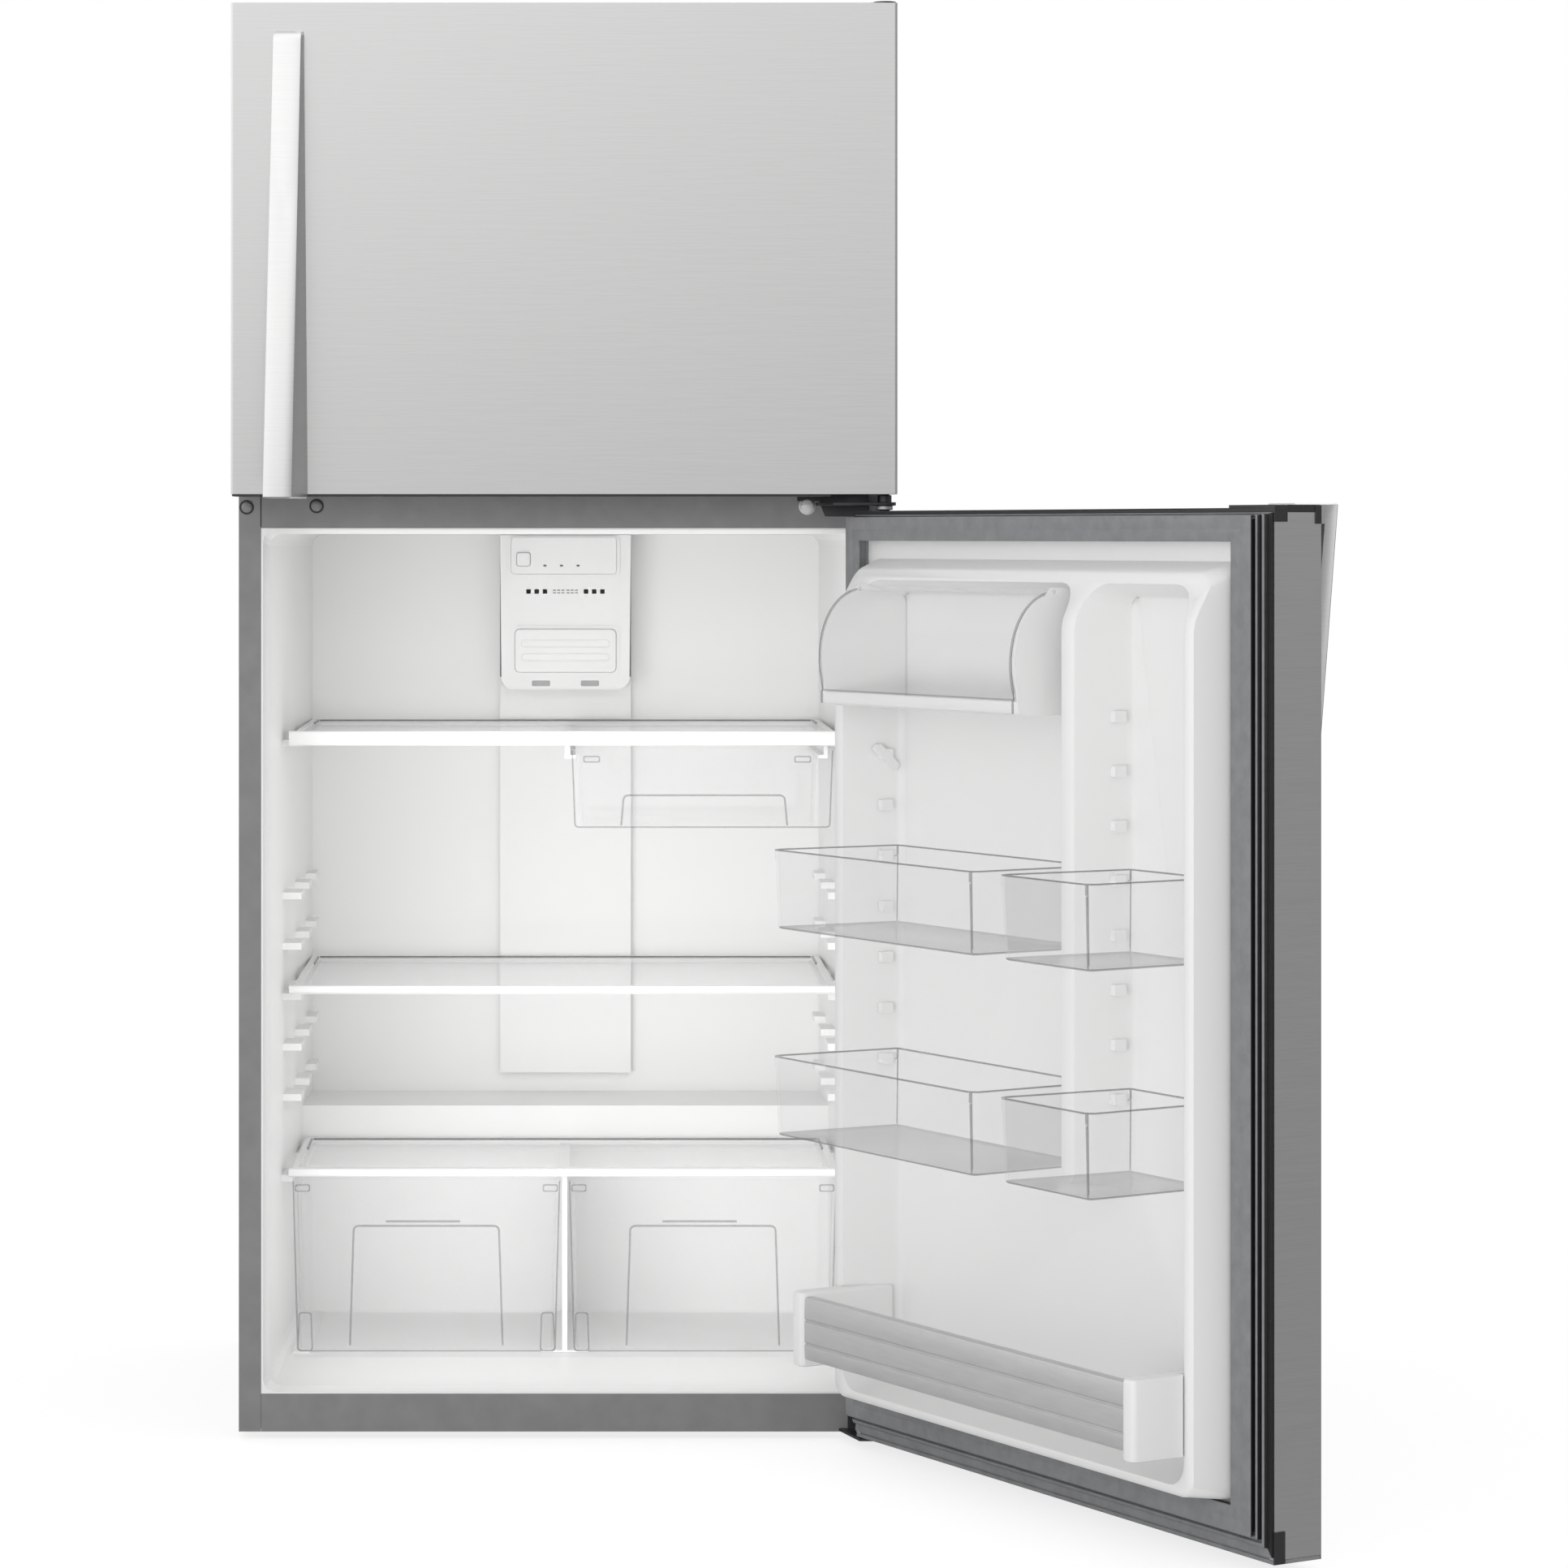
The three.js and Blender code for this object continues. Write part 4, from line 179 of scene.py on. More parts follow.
class Shader(Graph):
    """A material with a Principled shader; its patterns are given as what noise() takes."""

    def __init__(self, color, roughness, metallic=0.0, **sockets):
        self.material = bpy.data.materials.new("shader")
        super().__init__(self.material, "ShaderNodeOutputMaterial")
        self.color = color
        sockets = {"Base_Color": (*color, 1), "Roughness": roughness, "Metallic": metallic, **sockets}
        inputs = {name.replace("_", " "): value for name, value in sockets.items()}
        self.shader = self.node("ShaderNodeBsdfPrincipled", inputs)
        self.show(self.shader.outputs[0])

    def noise(self, scale, detail=2.0, rough=0.5):
        scale = scale if isinstance(scale, tuple) else (scale,) * 3
        place = self.node("ShaderNodeTexCoord").outputs["Object"]
        place = self.node("ShaderNodeMapping", {"Vector": place, "Scale": scale}).outputs[0]
        inputs = {"Vector": place, "Scale": 1.0, "Detail": detail, "Roughness": rough}
        return self.node("ShaderNodeTexNoise", inputs).outputs[0]

    def vary_color(self, dark, light, *pattern):
        """The colour, from dark to light times as bright."""
        share = self.ranged(self.noise(*pattern), *NOISE_RANGE, 0, 1)
        darkest, lightest = ((*(min(1.0, c * by) for c in self.color), 1) for by in (dark, light))
        mix = self.node("ShaderNodeMix", {0: share, 6: darkest, 7: lightest}, data_type="RGBA")
        self.link(mix.outputs[2], self.shader.inputs["Base Color"])

    def vary_roughness(self, low, high, *pattern):
        value = self.ranged(self.noise(*pattern), *NOISE_RANGE, low, high)
        self.link(value, self.shader.inputs["Roughness"])

    def bump(self, height, strength, *pattern):
        inputs = {"Strength": strength, "Distance": height * MM, "Height": self.noise(*pattern)}
        self.link(self.node("ShaderNodeBump", inputs).outputs[0], self.shader.inputs["Normal"])

    def let_lamps_through(self, share):
        """Shadow rays pass a clear material as they pass real clear plastic."""
        shadow = self.node("ShaderNodeLightPath").outputs["Is Shadow Ray"]
        clear = self.node("ShaderNodeBsdfTransparent", {"Color": (share, share, share, 1)})
        self.show(self.blend(shadow, self.shader.outputs[0], clear.outputs[0]))


def stainless():
    """Steel that is brushed from side to side."""
    made = Shader((0.74, 0.74, 0.735), 0.36, 1.0, Anisotropic=0.35, Coat_Weight=0.15, Coat_Roughness=0.25)
    brush = ((14, 14, 620), 3.0, 0.65)
    made.vary_color(0.965, 1.03, *brush)
    made.vary_roughness(0.35, 0.41, *brush)
    made.bump(0.02, 0.25, (60, 60, 2400), 1.0)
    return made.material


def painted(color, roughness, grain=900.0, height=0.05):
    made = Shader(color, roughness)
    made.vary_color(0.94, 1.05, 40.0)
    made.vary_roughness(roughness - 0.05, roughness + 0.06, grain / 3)
    made.bump(height, 0.4, grain, 1.0)
    return made.material


def metal(color, roughness):
    made = Shader(color, roughness, 1.0)
    made.vary_color(0.88, 1.05, 60.0, 4.0, 0.6)
    made.vary_roughness(roughness - 0.06, roughness + 0.08, 60.0, 4.0, 0.6)
    made.bump(0.02, 0.4, 480.0, 1.0)
    return made.material


def satin(color, roughness):
    """A metal finish that scatters light more than it mirrors."""
    made = Shader(color, roughness, 0.35)
    made.vary_color(0.96, 1.03, (30, 30, 300))
    made.vary_roughness(roughness - 0.04, roughness + 0.05, (30, 30, 300))
    return made.material


def plastic(color, roughness):
    """Smooth moulded plastic, which varies only over wide patches."""
    made = Shader(color, roughness)
    made.vary_color(0.985, 1.01, 2.5, 0.0)
    made.vary_roughness(roughness - 0.03, roughness + 0.04, 6.0, 0.0)
    return made.material


def rubber(color):
    made = Shader(color, 0.6)
    made.vary_color(0.9, 1.08, 60.0)
    made.vary_roughness(0.52, 0.7, 160.0)
    made.bump(0.03, 0.4, 1200.0)
    return made.material


def clear(color, roughness, share, cover):
    """A clear sheet: almost unseen face on, and more of its own colour where it is seen edge on."""
    made = Shader(color, roughness, IOR=1.5)
    made.vary_color(0.96, 1.03, 12.0)
    made.vary_roughness(roughness * 0.6, roughness * 1.6, 20.0)
    slant = made.node("ShaderNodeLayerWeight", {"Blend": 0.3})
    made.link(made.ranged(slant.outputs["Facing"], 0.0, 1.0, *cover), made.shader.inputs["Alpha"])
    made.let_lamps_through(share)
    return made.material


def edge_line(color, alpha):
    """A greyer, less clear material for the thick edges of clear walls and glass; on clear plastic it paints
    the dark lines that refraction draws at thick edges.
    """
    made = Shader(color, 0.2, Alpha=alpha)
    made.vary_color(0.85, 1.15, 30.0)
    made.let_lamps_through(0.97)
    return made.material


def foam():
    made = Shader((0.74, 0.66, 0.36), 0.9)
    made.vary_color(0.85, 1.08, 120.0, 4.0)
    made.bump(0.5, 0.6, 350.0, 3.0)
    return made.material


# The slots' materials, and below them those that some faces have instead, most of them painted shade or
# light.
MATERIALS = {
    "stainless_skin": stainless(),
    "grey_paint": painted((0.224, 0.224, 0.226), 0.42),
    "zinc_steel": metal((0.55, 0.56, 0.58), 0.38),
    "dark_steel": metal((0.09, 0.09, 0.095), 0.36),
    "white_liner": plastic((0.86, 0.86, 0.855), 0.36),
    "white_plastic": plastic((0.85, 0.85, 0.845), 0.32),
    "dark_plastic": painted((0.028, 0.028, 0.03), 0.4, 900.0, 0.03),
    "gasket_rubber": rubber((0.23, 0.235, 0.24)),
    "clear_plastic": clear((0.74, 0.745, 0.75), 0.06, 0.985, (0.05, 0.17)),
    "shelf_glass": clear((0.80, 0.84, 0.82), 0.03, 0.99, (0.03, 0.5)),
    "insulation_foam": foam(),
    "aluminium": satin((0.56, 0.56, 0.565), 0.45),
    "black_paint": painted((0.015, 0.015, 0.016), 0.32, 600.0, 0.04),
    # Near-black rubber: painted shadow in the gasket's folds.
    "gasket_shade": rubber((0.012, 0.012, 0.013)),
    # Grey, half-clear: painted dark refraction lines on the edges of clear plastic.
    "clear_edge": edge_line((0.13, 0.135, 0.14), 0.5),
    "glass_edge": edge_line((0.05, 0.06, 0.055), 0.75),
    # Dark grey: painted shade on the housing's side bevels and in its vents, and the colour of the panel's
    # printed marks.
    "seam_grey": painted((0.16, 0.16, 0.16), 0.5),
    # Mid grey: painted shade in grooves, slots and pockets.
    "pocket_grey": painted((0.42, 0.42, 0.42), 0.5),
    # A brighter copy of zinc: a painted highlight.
    "bright_zinc": satin((0.80, 0.80, 0.80), 0.3),
}
for name, material in MATERIALS.items():
    material.name = name

# ---- drawing


def put(name, data):
    """A new object in the scene."""
    obj = bpy.data.objects.new(name, data)
    bpy.context.scene.collection.objects.link(obj)
    return obj


def fillet(corners, steps=4):
    """An outline with rounded corners, given as (u, v, radius); a radius of 0 stays one point."""
    points = []
    for i, (u, v, radius) in enumerate(corners):
        here = Vector((u, v))
        if not radius:
            points.append((u, v))
            continue
        before = (Vector(corners[i - 1][:2]) - here).normalized()
        after = (Vector(corners[(i + 1) % len(corners)][:2]) - here).normalized()
        half = before.angle(after) / 2
        middle = here + (before + after).normalized() * radius / math.sin(half)
        start = here + before * radius / math.tan(half) - middle
        end = here + after * radius / math.tan(half) - middle
        sweep = start.angle(end)
        for k in range(steps + 1):
            t = k / steps
            way = (start * math.sin((1 - t) * sweep) + end * math.sin(t * sweep)) / math.sin(sweep)
            points.append(tuple(middle + way))
    return points


def trapezoid(low, high, v, low_radius=0.0, high_radius=0.0):
    """Corners with their own width and roundness at the low and at the high side."""
    return [(low[0], v[0], low_radius), (low[1], v[0], low_radius),
            (high[1], v[1], high_radius), (high[0], v[1], high_radius)]


def rectangle(u, v, radius):
    return trapezoid(u, u, v, radius, radius)


def rounded(u, v, radius=0.0, steps=4):
    return fillet(rectangle(u, v, radius), steps)


def toward(point, middle, by):
    """A point moved by as much along each axis, to the side on which the middle lies."""
    return tuple(p - math.copysign(by, p - m) for p, m in zip(point, middle))


def grown(pair, by):
    return (pair[0] - by, pair[1] + by)


def around(center, reach):
    return (center - reach, center + reach)


def circle(u, v, radius, sides=32):
    turn = 2 * math.pi / sides
    return [(u + radius * math.cos(k * turn), v + radius * math.sin(k * turn)) for k in range(sides)]


# Outlines are (y, z) pairs along x, (x, z) along y and (x, y) along z.
AXES = {
    "x": lambda u, v, w: (w, u, v),
    "y": lambda u, v, w: (u, w, v),
    "z": lambda u, v, w: (u, v, w),
}


def fill(outline, *holes):
    """Triangles between an outline and its holes, as indices into all their points in turn."""
    return tessellate_polygon([[Vector((u, v, 0)) for u, v in loop] for loop in (outline, *holes)])


def raised_by(first, faces):
    """Faces whose points are counted from another first one."""
    return [tuple(first + i for i in face) for face in faces]


def solid(points, faces):
    mesh = bpy.data.meshes.new("solid")
    mesh.from_pydata(points, [], faces)
    form = bmesh.new()
    form.from_mesh(mesh)
    bmesh.ops.remove_doubles(form, verts=form.verts, dist=1e-3)
    bmesh.ops.recalc_face_normals(form, faces=form.faces)
    form.to_mesh(mesh)
    form.free()
    return mesh


def bridge(a, b, count):
    """Quads between two loops of points that start at indices a and b."""
    following = [(i + 1) % count for i in range(count)]
    return [(a + i, a + j, b + j, b + i) for i, j in enumerate(following)]


def loft(axis, levels, wrap=False):
    """A closed body through outlines of as many points, each at its own depth along the axis."""
    count = len(levels[0][0])
    points = [AXES[axis](u, v, w) for outline, w in levels for u, v in outline]
    faces = []
    for row in range(len(levels) if wrap else len(levels) - 1):
        faces += bridge(row * count, (row + 1) % len(levels) * count, count)
    if not wrap:
        faces += fill(levels[0][0])
        faces += raised_by((len(levels) - 1) * count, fill(levels[-1][0]))
    return solid(points, faces)


def shaped(axis, outline, levels, wrap=False):
    """A loft of one outline that is drawn for each level's first value, at its second."""
    return loft(axis, [(outline(value), at) for value, at in levels], wrap)


def prism(axis, outline, ends, *holes):
    loops = (outline, *holes)
    size = sum(len(loop) for loop in loops)
    points = [AXES[axis](u, v, w) for w in ends for loop in loops for u, v in loop]
    caps = fill(*loops)
    faces = caps + raised_by(size, caps)
    start = 0
    for loop in loops:
        faces += bridge(start, size + start, len(loop))
        start += len(loop)
    return solid(points, faces)


def block(x, y, z, radius=0.0):
    return prism("z", rounded(x, y, radius), z)


def tile(x, z, radius, steps, deep, *holes):
    """A rounded rectangle seen from the front, with its depth."""
    return prism("y", rounded(x, z, radius, steps), deep, *holes)


def combine(operation, first, others):
    base = put("first", first)
    tools = []
    for other in others:
        tool = put("other", other)
        modifier = base.modifiers.new("combine", "BOOLEAN")
        modifier.operation = operation
        modifier.object = tool
        modifier.solver = "MANIFOLD"
        tools.append(tool)
    depsgraph = bpy.context.evaluated_depsgraph_get()
    made = bpy.data.meshes.new_from_object(base.evaluated_get(depsgraph))
    for obj in (base, *tools):
        bpy.data.objects.remove(obj)
    return made


def join(first, *others):
    return combine("UNION", first, others)


def cut(first, *others):
    return combine("DIFFERENCE", first, others)


def tub(outline, z, foot, rim, floor):
    """A tub drawn up its outside, over its rim and down to its floor inside. The levels are how far
    in and how far above the foot they lie, and for the rim how far below its top."""
    levels = [*foot, *((by, z[1] - z[0] - down) for by, down in rim), *floor]
    return shaped("z", outline, [(by, z[0] + up) for by, up in levels])


def tracing(node):
    """A copy of a node's mesh in the drawing, with its points merged."""
    return solid(drawn(node), [tuple(face.vertices) for face in frame["nodes"][node].data.polygons])


# ---- finish of a piece

BEVELS = {"clear_plastic": 0.5, "shelf_glass": 0.5, "stainless_skin": 0.3, "insulation_foam": 0.0}
PLAIN_BEVEL = 0.7
SHARP = math.radians(38)
FLAT = math.radians(0.6)


def soften(obj, width):
    """Merges flat faces, then rounds the sharp edges."""
    merge = obj.modifiers.new("merge", "DECIMATE")
    merge.decimate_type = "DISSOLVE"
    merge.angle_limit = FLAT
    merge.delimit = {"NORMAL", "MATERIAL"}
    if width:
        bevel = obj.modifiers.new("bevel", "BEVEL")
        bevel.width = width * MM
        bevel.segments = 2
        bevel.limit_method = "ANGLE"
        bevel.angle_limit = SHARP
        bevel.harden_normals = True
        bevel.use_clamp_overlap = True


def paint(obj, slot):
    """Gives a slot's material; light passes clear pieces on its way to what is behind them."""
    obj.data.materials.clear()
    obj.data.materials.append(MATERIALS[slot])
    if slot in ("clear_plastic", "shelf_glass"):
        obj.visible_shadow = False
        obj.visible_diffuse = False


def piece(name, body, slot, mesh, *nodes, bevel=None, shade=None):
    """Puts a drawn mesh on its body, in place of the named nodes."""
    place = PLACES.get(body, SHUT)
    mesh.transform(place)
    obj = put(name, mesh)
    paint(obj, slot)
    if shade:
        shade(obj, place.inverted())
    mesh.shade_smooth()
    mesh.set_sharp_from_angle(angle=SHARP)
    soften(obj, BEVELS.get(slot, PLAIN_BEVEL) if bevel is None else bevel)
    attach(obj, body)
    if nodes:
        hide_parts(*nodes)
    return obj


def shading(name, chosen=None):
    """A call that gives another material to all faces, or to those that `chosen` takes by centre
    and normal."""
    def shade(obj, back):
        obj.data.materials.append(MATERIALS[name])
        turn = back.to_3x3()
        for face in obj.data.polygons:
            if not chosen or chosen(back @ face.center, (turn @ face.normal).normalized()):
                face.material_index = len(obj.data.materials) - 1
    return shade


# ---- fresh food door liner and gasket

DOOR_X, DOOR_DEEP, DOOR_Z = span("fridge_door_skin")
LINER_DEEP = span("fridge_door_liner")[1]
GASKET_Z = span("fridge_door_gasket")[2]
SHEET = 2.0
FLANGE = DOOR_DEEP[1] + 0.3  # depth at which the liner lies on the steel
CREST = LINER_DEEP[1] + 6
RECESS = LINER_DEEP[0] + SHEET
CREST_OUT = (DOOR_X[0] + 57, DOOR_X[1] - 44)
CREST_IN = (DOOR_X[0] + 70.5, DOOR_X[1] - 62)
CREST_OUT_Z = (DOOR_Z[0] + 61, DOOR_Z[1] - 64)
CREST_IN_Z = (DOOR_Z[0] + 71, DOOR_Z[1] - 78)
CREST_EDGE = 3.0  # roundness of the crest's two edges
RIB = (-123.0, -99.0)
RIB_FOOT = DOOR_Z[0] + 352
RIB_FOOT_RADIUS = 11
CREST_FALL = (DOOR_Z[1] - 125, DOOR_Z[1] - 62)  # heights between which the rim slopes back
FALL = 26.0
STATIONS = [CREST_FALL[0] + k * 11 for k in range(4)]


def crest_depth(z):
    t = min(1, max(0, (z - CREST_FALL[0]) / (CREST_FALL[1] - CREST_FALL[0])))
    return CREST - FALL * t * t * (3 - 2 * t)


def upwards(x):
    """The extra points where the rim's depth changes."""
    return [(x, z, 0) for z in STATIONS]


def rim_loop(x, z, radius):
    first, second, third, fourth = rectangle(x, z, radius)
    return fillet([first, second, *upwards(x[1]), third, fourth, *upwards(x[0])[::-1]], 5)


def recess_loop(inset, widen):
    """The recess's outline, which runs round the rib between the wide and the narrow bins."""
    x, z = grown(CREST_IN, -inset), grown(CREST_IN_Z, -inset)
    left, right = grown(RIB, widen)
    small, middle, large = max(6, 24 - inset), max(8, 28 - inset), max(10, 40 - inset)
    foot = RIB_FOOT_RADIUS + widen * 0.8
    return fillet(
        [
            (x[0], z[0], small), (x[1], z[0], small), *upwards(x[1]),
            (x[1], z[1], large), (right, z[1], middle), *upwards(right)[::-1],
            (right, RIB_FOOT - widen, foot), (left, RIB_FOOT - widen, foot), *upwards(left),
            (left, z[1], middle), (x[0], z[1], large), *upwards(x[0])[::-1],
        ],
        5,
    )


# How far in the recess's wall and the rib's wall lie at heights above the recess's floor.
WALLS = [(11.0, 7.5, 9.0), (12.6, 8.6, 4.0), (15.0, 10.5, 1.2), (19.0, 14.0, 0.0)]
CREST_FOOT = 7  # how far the crest's foot stands out


def formed_sheet(by, *skirt):
    """One side of the formed liner, by below its face: loops of (x, depth, z) points that begin with
    its skirt, and which of them is the crest's outer one."""
    edge, foot = CREST_EDGE, CREST_FOOT - by
    foot_z = (CREST_OUT_Z[0] - foot, CREST_OUT_Z[1] + foot + 3)
    outer = [(rim_loop(grown(CREST_OUT, out - by), grown(CREST_OUT_Z, out - by), radius), below)
             for out, radius, below in ((0.4, 18, edge), (0.9 - edge, 16, 0.6), (-edge, 15, 0))]
    inner = [(recess_loop(out - by, out - by), below) for out, below in ((-edge, 0), (-0.8, 0.8), (0, edge))]
    rings = [*skirt, [(u, FLANGE + SHEET - by, v) for u, v in rim_loop(grown(CREST_OUT, foot), foot_z, 14)]]
    for loop, below in outer + inner:
        rings.append([(u, crest_depth(v) - below - by, v) for u, v in loop])
    for inset, widen, above in WALLS:
        loop = recess_loop(inset - by, widen - by)
        rings.append([(u, RECESS + above - by, v) for u, v in loop])
    return rings, len(skirt) + len(outer)


def flat(ring):
    return [(x, z) for x, _, z in ring]


def sheet_faces(rings, crest, first=0):
    """Quads from ring to ring, and triangles across the flat crest and the recess's floor, with the
    points counted from a first one."""
    starts, faces = [*accumulate(map(len, rings[:-1]), initial=first)], []
    for k, ring in enumerate(rings[:-1]):
        if k != crest:
            faces += bridge(starts[k], starts[k + 1], len(ring))
    faces += raised_by(starts[crest], fill(flat(rings[crest]), flat(rings[crest + 1])))
    return faces + raised_by(starts[-1], fill(flat(rings[-1])))


def ring_at(x, z, depth):
    return [(u, depth, v) for u, v in rim_loop(x, z, 1.0)]


FOOT_X, FOOT_Z = grown(DOOR_X, -0.6), (DOOR_Z[0] + 7, DOOR_Z[1] - 4.5)
SEAL_X, SEAL_Z = (DOOR_X[0] + 16, DOOR_X[1] - 5), GASKET_Z
SEAL_IN_X, SEAL_IN_Z = (DOOR_X[0] + 47, DOOR_X[1] - 31), grown(GASKET_Z, -26)


def moulded_rib():
    """The short slanted rib on the recess's hinge-side wall."""
    top, low = Vector((84.0, CREST_IN_Z[1] - 186)), Vector((57.0, CREST_IN_Z[1] - 211))
    across = (top - low).normalized() * 4.5
    across = Vector((across.y, -across.x))
    corners = [(*corner, 3.0) for corner in (top + across, top - across, low - across, low + across)]
    return prism("x", fillet(corners), (CREST_IN[1] - 16.5, CREST_IN[1] - 8))


def fridge_liner():
    """Two formed faces a sheet apart, joined round the flange's edge."""
    edge = [grown(SEAL_X, -1), grown(SEAL_Z, -1)]
    front, crest = formed_sheet(0, ring_at(*edge, FLANGE + SHEET))
    back, _ = formed_sheet(SHEET, ring_at(*edge, FLANGE))
    second = sum(map(len, front))
    faces = sheet_faces(front, crest) + sheet_faces(back, crest, second) + bridge(0, second, len(front[0]))
    return join(solid(sum(front + back, []), faces), moulded_rib(), *door_lugs())


def fridge_foam():
    core_x, core_z = grown(DOOR_X, -1.5), grown(DOOR_Z, -17)
    inside, back = grown(DOOR_X, -9), DOOR_DEEP[1] - 1.5
    places = ((core_x, 1.6), (core_x, back), (inside, back), (inside, FLANGE + SHEET - 3))
    rings, crest = formed_sheet(3.0, *(ring_at(x, core_z, depth) for x, depth in places))
    return solid(sum(rings, []), sheet_faces(rings, crest) + fill(flat(rings[0])))


LUG_TOP = CREST_IN_Z[1] - 132.5
LUG_HEIGHT = 12
LUG_REACH = 8
LUG_PITCH = 57.0
LUG_ROWS = 8
LUG_DEEP = (63.0, 78.0)


def wall_inset(depth):
    """How far the recess's wall has drawn in at a depth."""
    return 11.0 * (CREST - 3 - depth) / (CREST - RECESS - 12)


LUG_INSET = wall_inset(LUG_DEEP[0])


def door_lugs():
    """The lugs that the bins hang on, on the walls beside the wide and the narrow bins."""
    walls = [
        (CREST_IN[1] - LUG_INSET + 2, -LUG_REACH),
        (RIB[1] + LUG_INSET * 0.7 - 2, LUG_REACH),
        (RIB[0] - LUG_INSET * 0.7 + 2, -LUG_REACH),
        (CREST_IN[0] + LUG_INSET - 2, LUG_REACH),
    ]
    made = []
    for row in range(LUG_ROWS):
        top = LUG_TOP - row * LUG_PITCH
        outline = rounded(LUG_DEEP, (top - LUG_HEIGHT, top), 2.0, 2)
        made += [prism("x", outline, sorted((wall, wall + reach))) for wall, reach in walls]
    return made


def hook(across, seat):
    """A lip that rests on a lug's top and hangs over its front."""
    back, near, far = LUG_DEEP[0] + 2, LUG_DEEP[1] + 1, LUG_DEEP[1] + 4
    low, top = seat - 6, seat + 3
    section = [(back, seat), (near, seat), (near, low), (far, low), (far, top), (back, top)]
    return prism("x", section, across)


# A gasket's profile: how far in from the foot's edge (-1) to the seal's outer (0) and inner (1)
# edge, and the depth.
BELLOWS = [
    (-1.0, 61.3), (-1.0, 63.4), (-0.78, 63.8), (-0.58, 63.6), (-0.52, 67.4), (-0.44, 68.6),
    (-0.34, 68.4), (-0.30, 67.0), (-0.26, 64.6), (-0.18, 64.8), (-0.15, 71.6), (-0.08, 72.8),
    (0.0, 72.6), (0.03, 71.0), (0.05, 68.0), (0.12, 68.0), (0.12, 76.9), (-0.02, 77.1),
    (-0.03, 78.3), (0.0, 79.2), (0.06, 79.7), (0.45, 79.7), (0.49, 79.3), (0.55, 79.3),
    (0.59, 79.7), (0.94, 79.7), (1.0, 79.2), (1.02, 78.0), (1.0, 76.6), (0.86, 75.4),
    (0.80, 66.0), (0.90, 64.8), (0.90, 63.5), (0.05, 63.5), (0.05, 61.3),
]
FOLDS = {0, 1, 2, 3, 6, 7, 8, 9, 12, 13, 14, 15, 16, 17}  # the profile's steps inside its folds
UPRIGHT = {4, 5, 6, 10, 11, 0}  # the loop's steps up the door's two sides


def gasket_loop(t):
    """The gasket's outline at a place in its profile."""
    low, high = ((FOOT_X, FOOT_Z), (SEAL_X, SEAL_Z)) if t < 0 else ((SEAL_X, SEAL_Z), (SEAL_IN_X, SEAL_IN_Z))
    share = t + 1 if t < 0 else t
    x, z = (tuple(p + (q - p) * share for p, q in zip(*ends)) for ends in zip(low, high))
    return rounded(x, z, 1.5, 2)


def shade_folds(obj, back):
    """Paints shadow into the folds on the door's two sides, with a near-black rubber."""
    obj.data.materials.append(MATERIALS["gasket_shade"])
    steps = len(gasket_loop(0))
    for face in obj.data.polygons:
        level, side = divmod(face.index, steps)
        if level in FOLDS and side in UPRIGHT:
            face.material_index = 1


piece("fridge_door_liner_formed", "fridge_door", "white_liner", fridge_liner(), "fridge_door_liner",
      bevel=0.8)
piece("fridge_door_core", "fridge_door", "insulation_foam", fridge_foam(), "fridge_door_foam", bevel=0)
piece("fridge_gasket_bellows", "fridge_door", "gasket_rubber", shaped("y", gasket_loop, BELLOWS, wrap=True),
      "fridge_door_gasket", bevel=0, shade=shade_folds)

# ---- handles

HANDLE_STAND = (55.0, 12.5)  # the face's stand off the door at the proud and at the low end
HANDLE_FACE = (33.0, 15.0)  # width and depth
HANDLE_WEB = (14.5, 2.0)  # the slanted side's spread at both ends
HANDLE_WALL = 7.0
HANDLE_LEAN = 8.3
HANDLE_SEAT = -0.3  # depth of its feet, on the door's front


def handle_levels(start, length, up, left):
    """Stations along a handle from its proud end to its low end, drawn with rounded edges."""
    # Along the handle, whether it is solid there, how far it is trimmed, and how far it drops.
    stations = [
        (0, True, 1.6, 0), (1.6, True, 0, 0), (21, True, 0, 0),
        *[(22 + k * (length - 54) / 8, False, 0, 0) for k in range(8)],
        (length - 31, False, 0, 0), (length - 30, True, 0, 0), (length - 9, True, 0, 0),
        (length - 4, True, 0, 2.6), (length, True, 0.8, 7.0),
    ]
    width, face = HANDLE_FACE
    levels = []
    for along, filled, trim, drop in stations:
        t = along / length
        x = left + HANDLE_LEAN * t
        stand = HANDLE_STAND[0] + (HANDLE_STAND[1] - HANDLE_STAND[0]) * t - drop
        slant = HANDLE_WEB[0] + (HANDLE_WEB[1] - HANDLE_WEB[0]) * t
        deep = min(stand - 2.5, face)
        top = trim - stand
        crown = [(x + trim + width * f, top + 1.0 - 4.0 * f * (1 - f)) for f in (0.12, 0.3, 0.5, 0.7, 0.88)]
        near = [(x + trim, top + 3.2), (x + trim + 0.9, top + 1.5)]
        side = x + width
        far = [
            (side - trim - 0.9, top + 1.5), (side - trim + 0.3, top + 3.4),
            (side + slant * 0.42 - trim, -stand * 0.52), (side + slant - trim, HANDLE_SEAT),
        ]
        if filled:
            inside = [(x + 3 + trim, HANDLE_SEAT), (x + trim + 1.4, -stand * 0.5)]
        else:
            inside = [(side + slant - HANDLE_WALL, HANDLE_SEAT), (side - 5 + slant * 0.1, deep - stand)]
        undercut = (x + trim + deep * 0.22, top + deep)
        levels.append((near + crown + far + inside + [undercut], start + up * along))
    return levels


for name, body, up in (("freezer_handle", "freezer_door", 1), ("fridge_handle", "fridge_door", -1)):
    (left, _), _, (low, high) = span(name)
    levels = handle_levels(low if up > 0 else high, high - low, up, left)
    piece(name + "_bar", body, "stainless_skin", loft("z", levels), name, bevel=0.5)

# ---- door bins

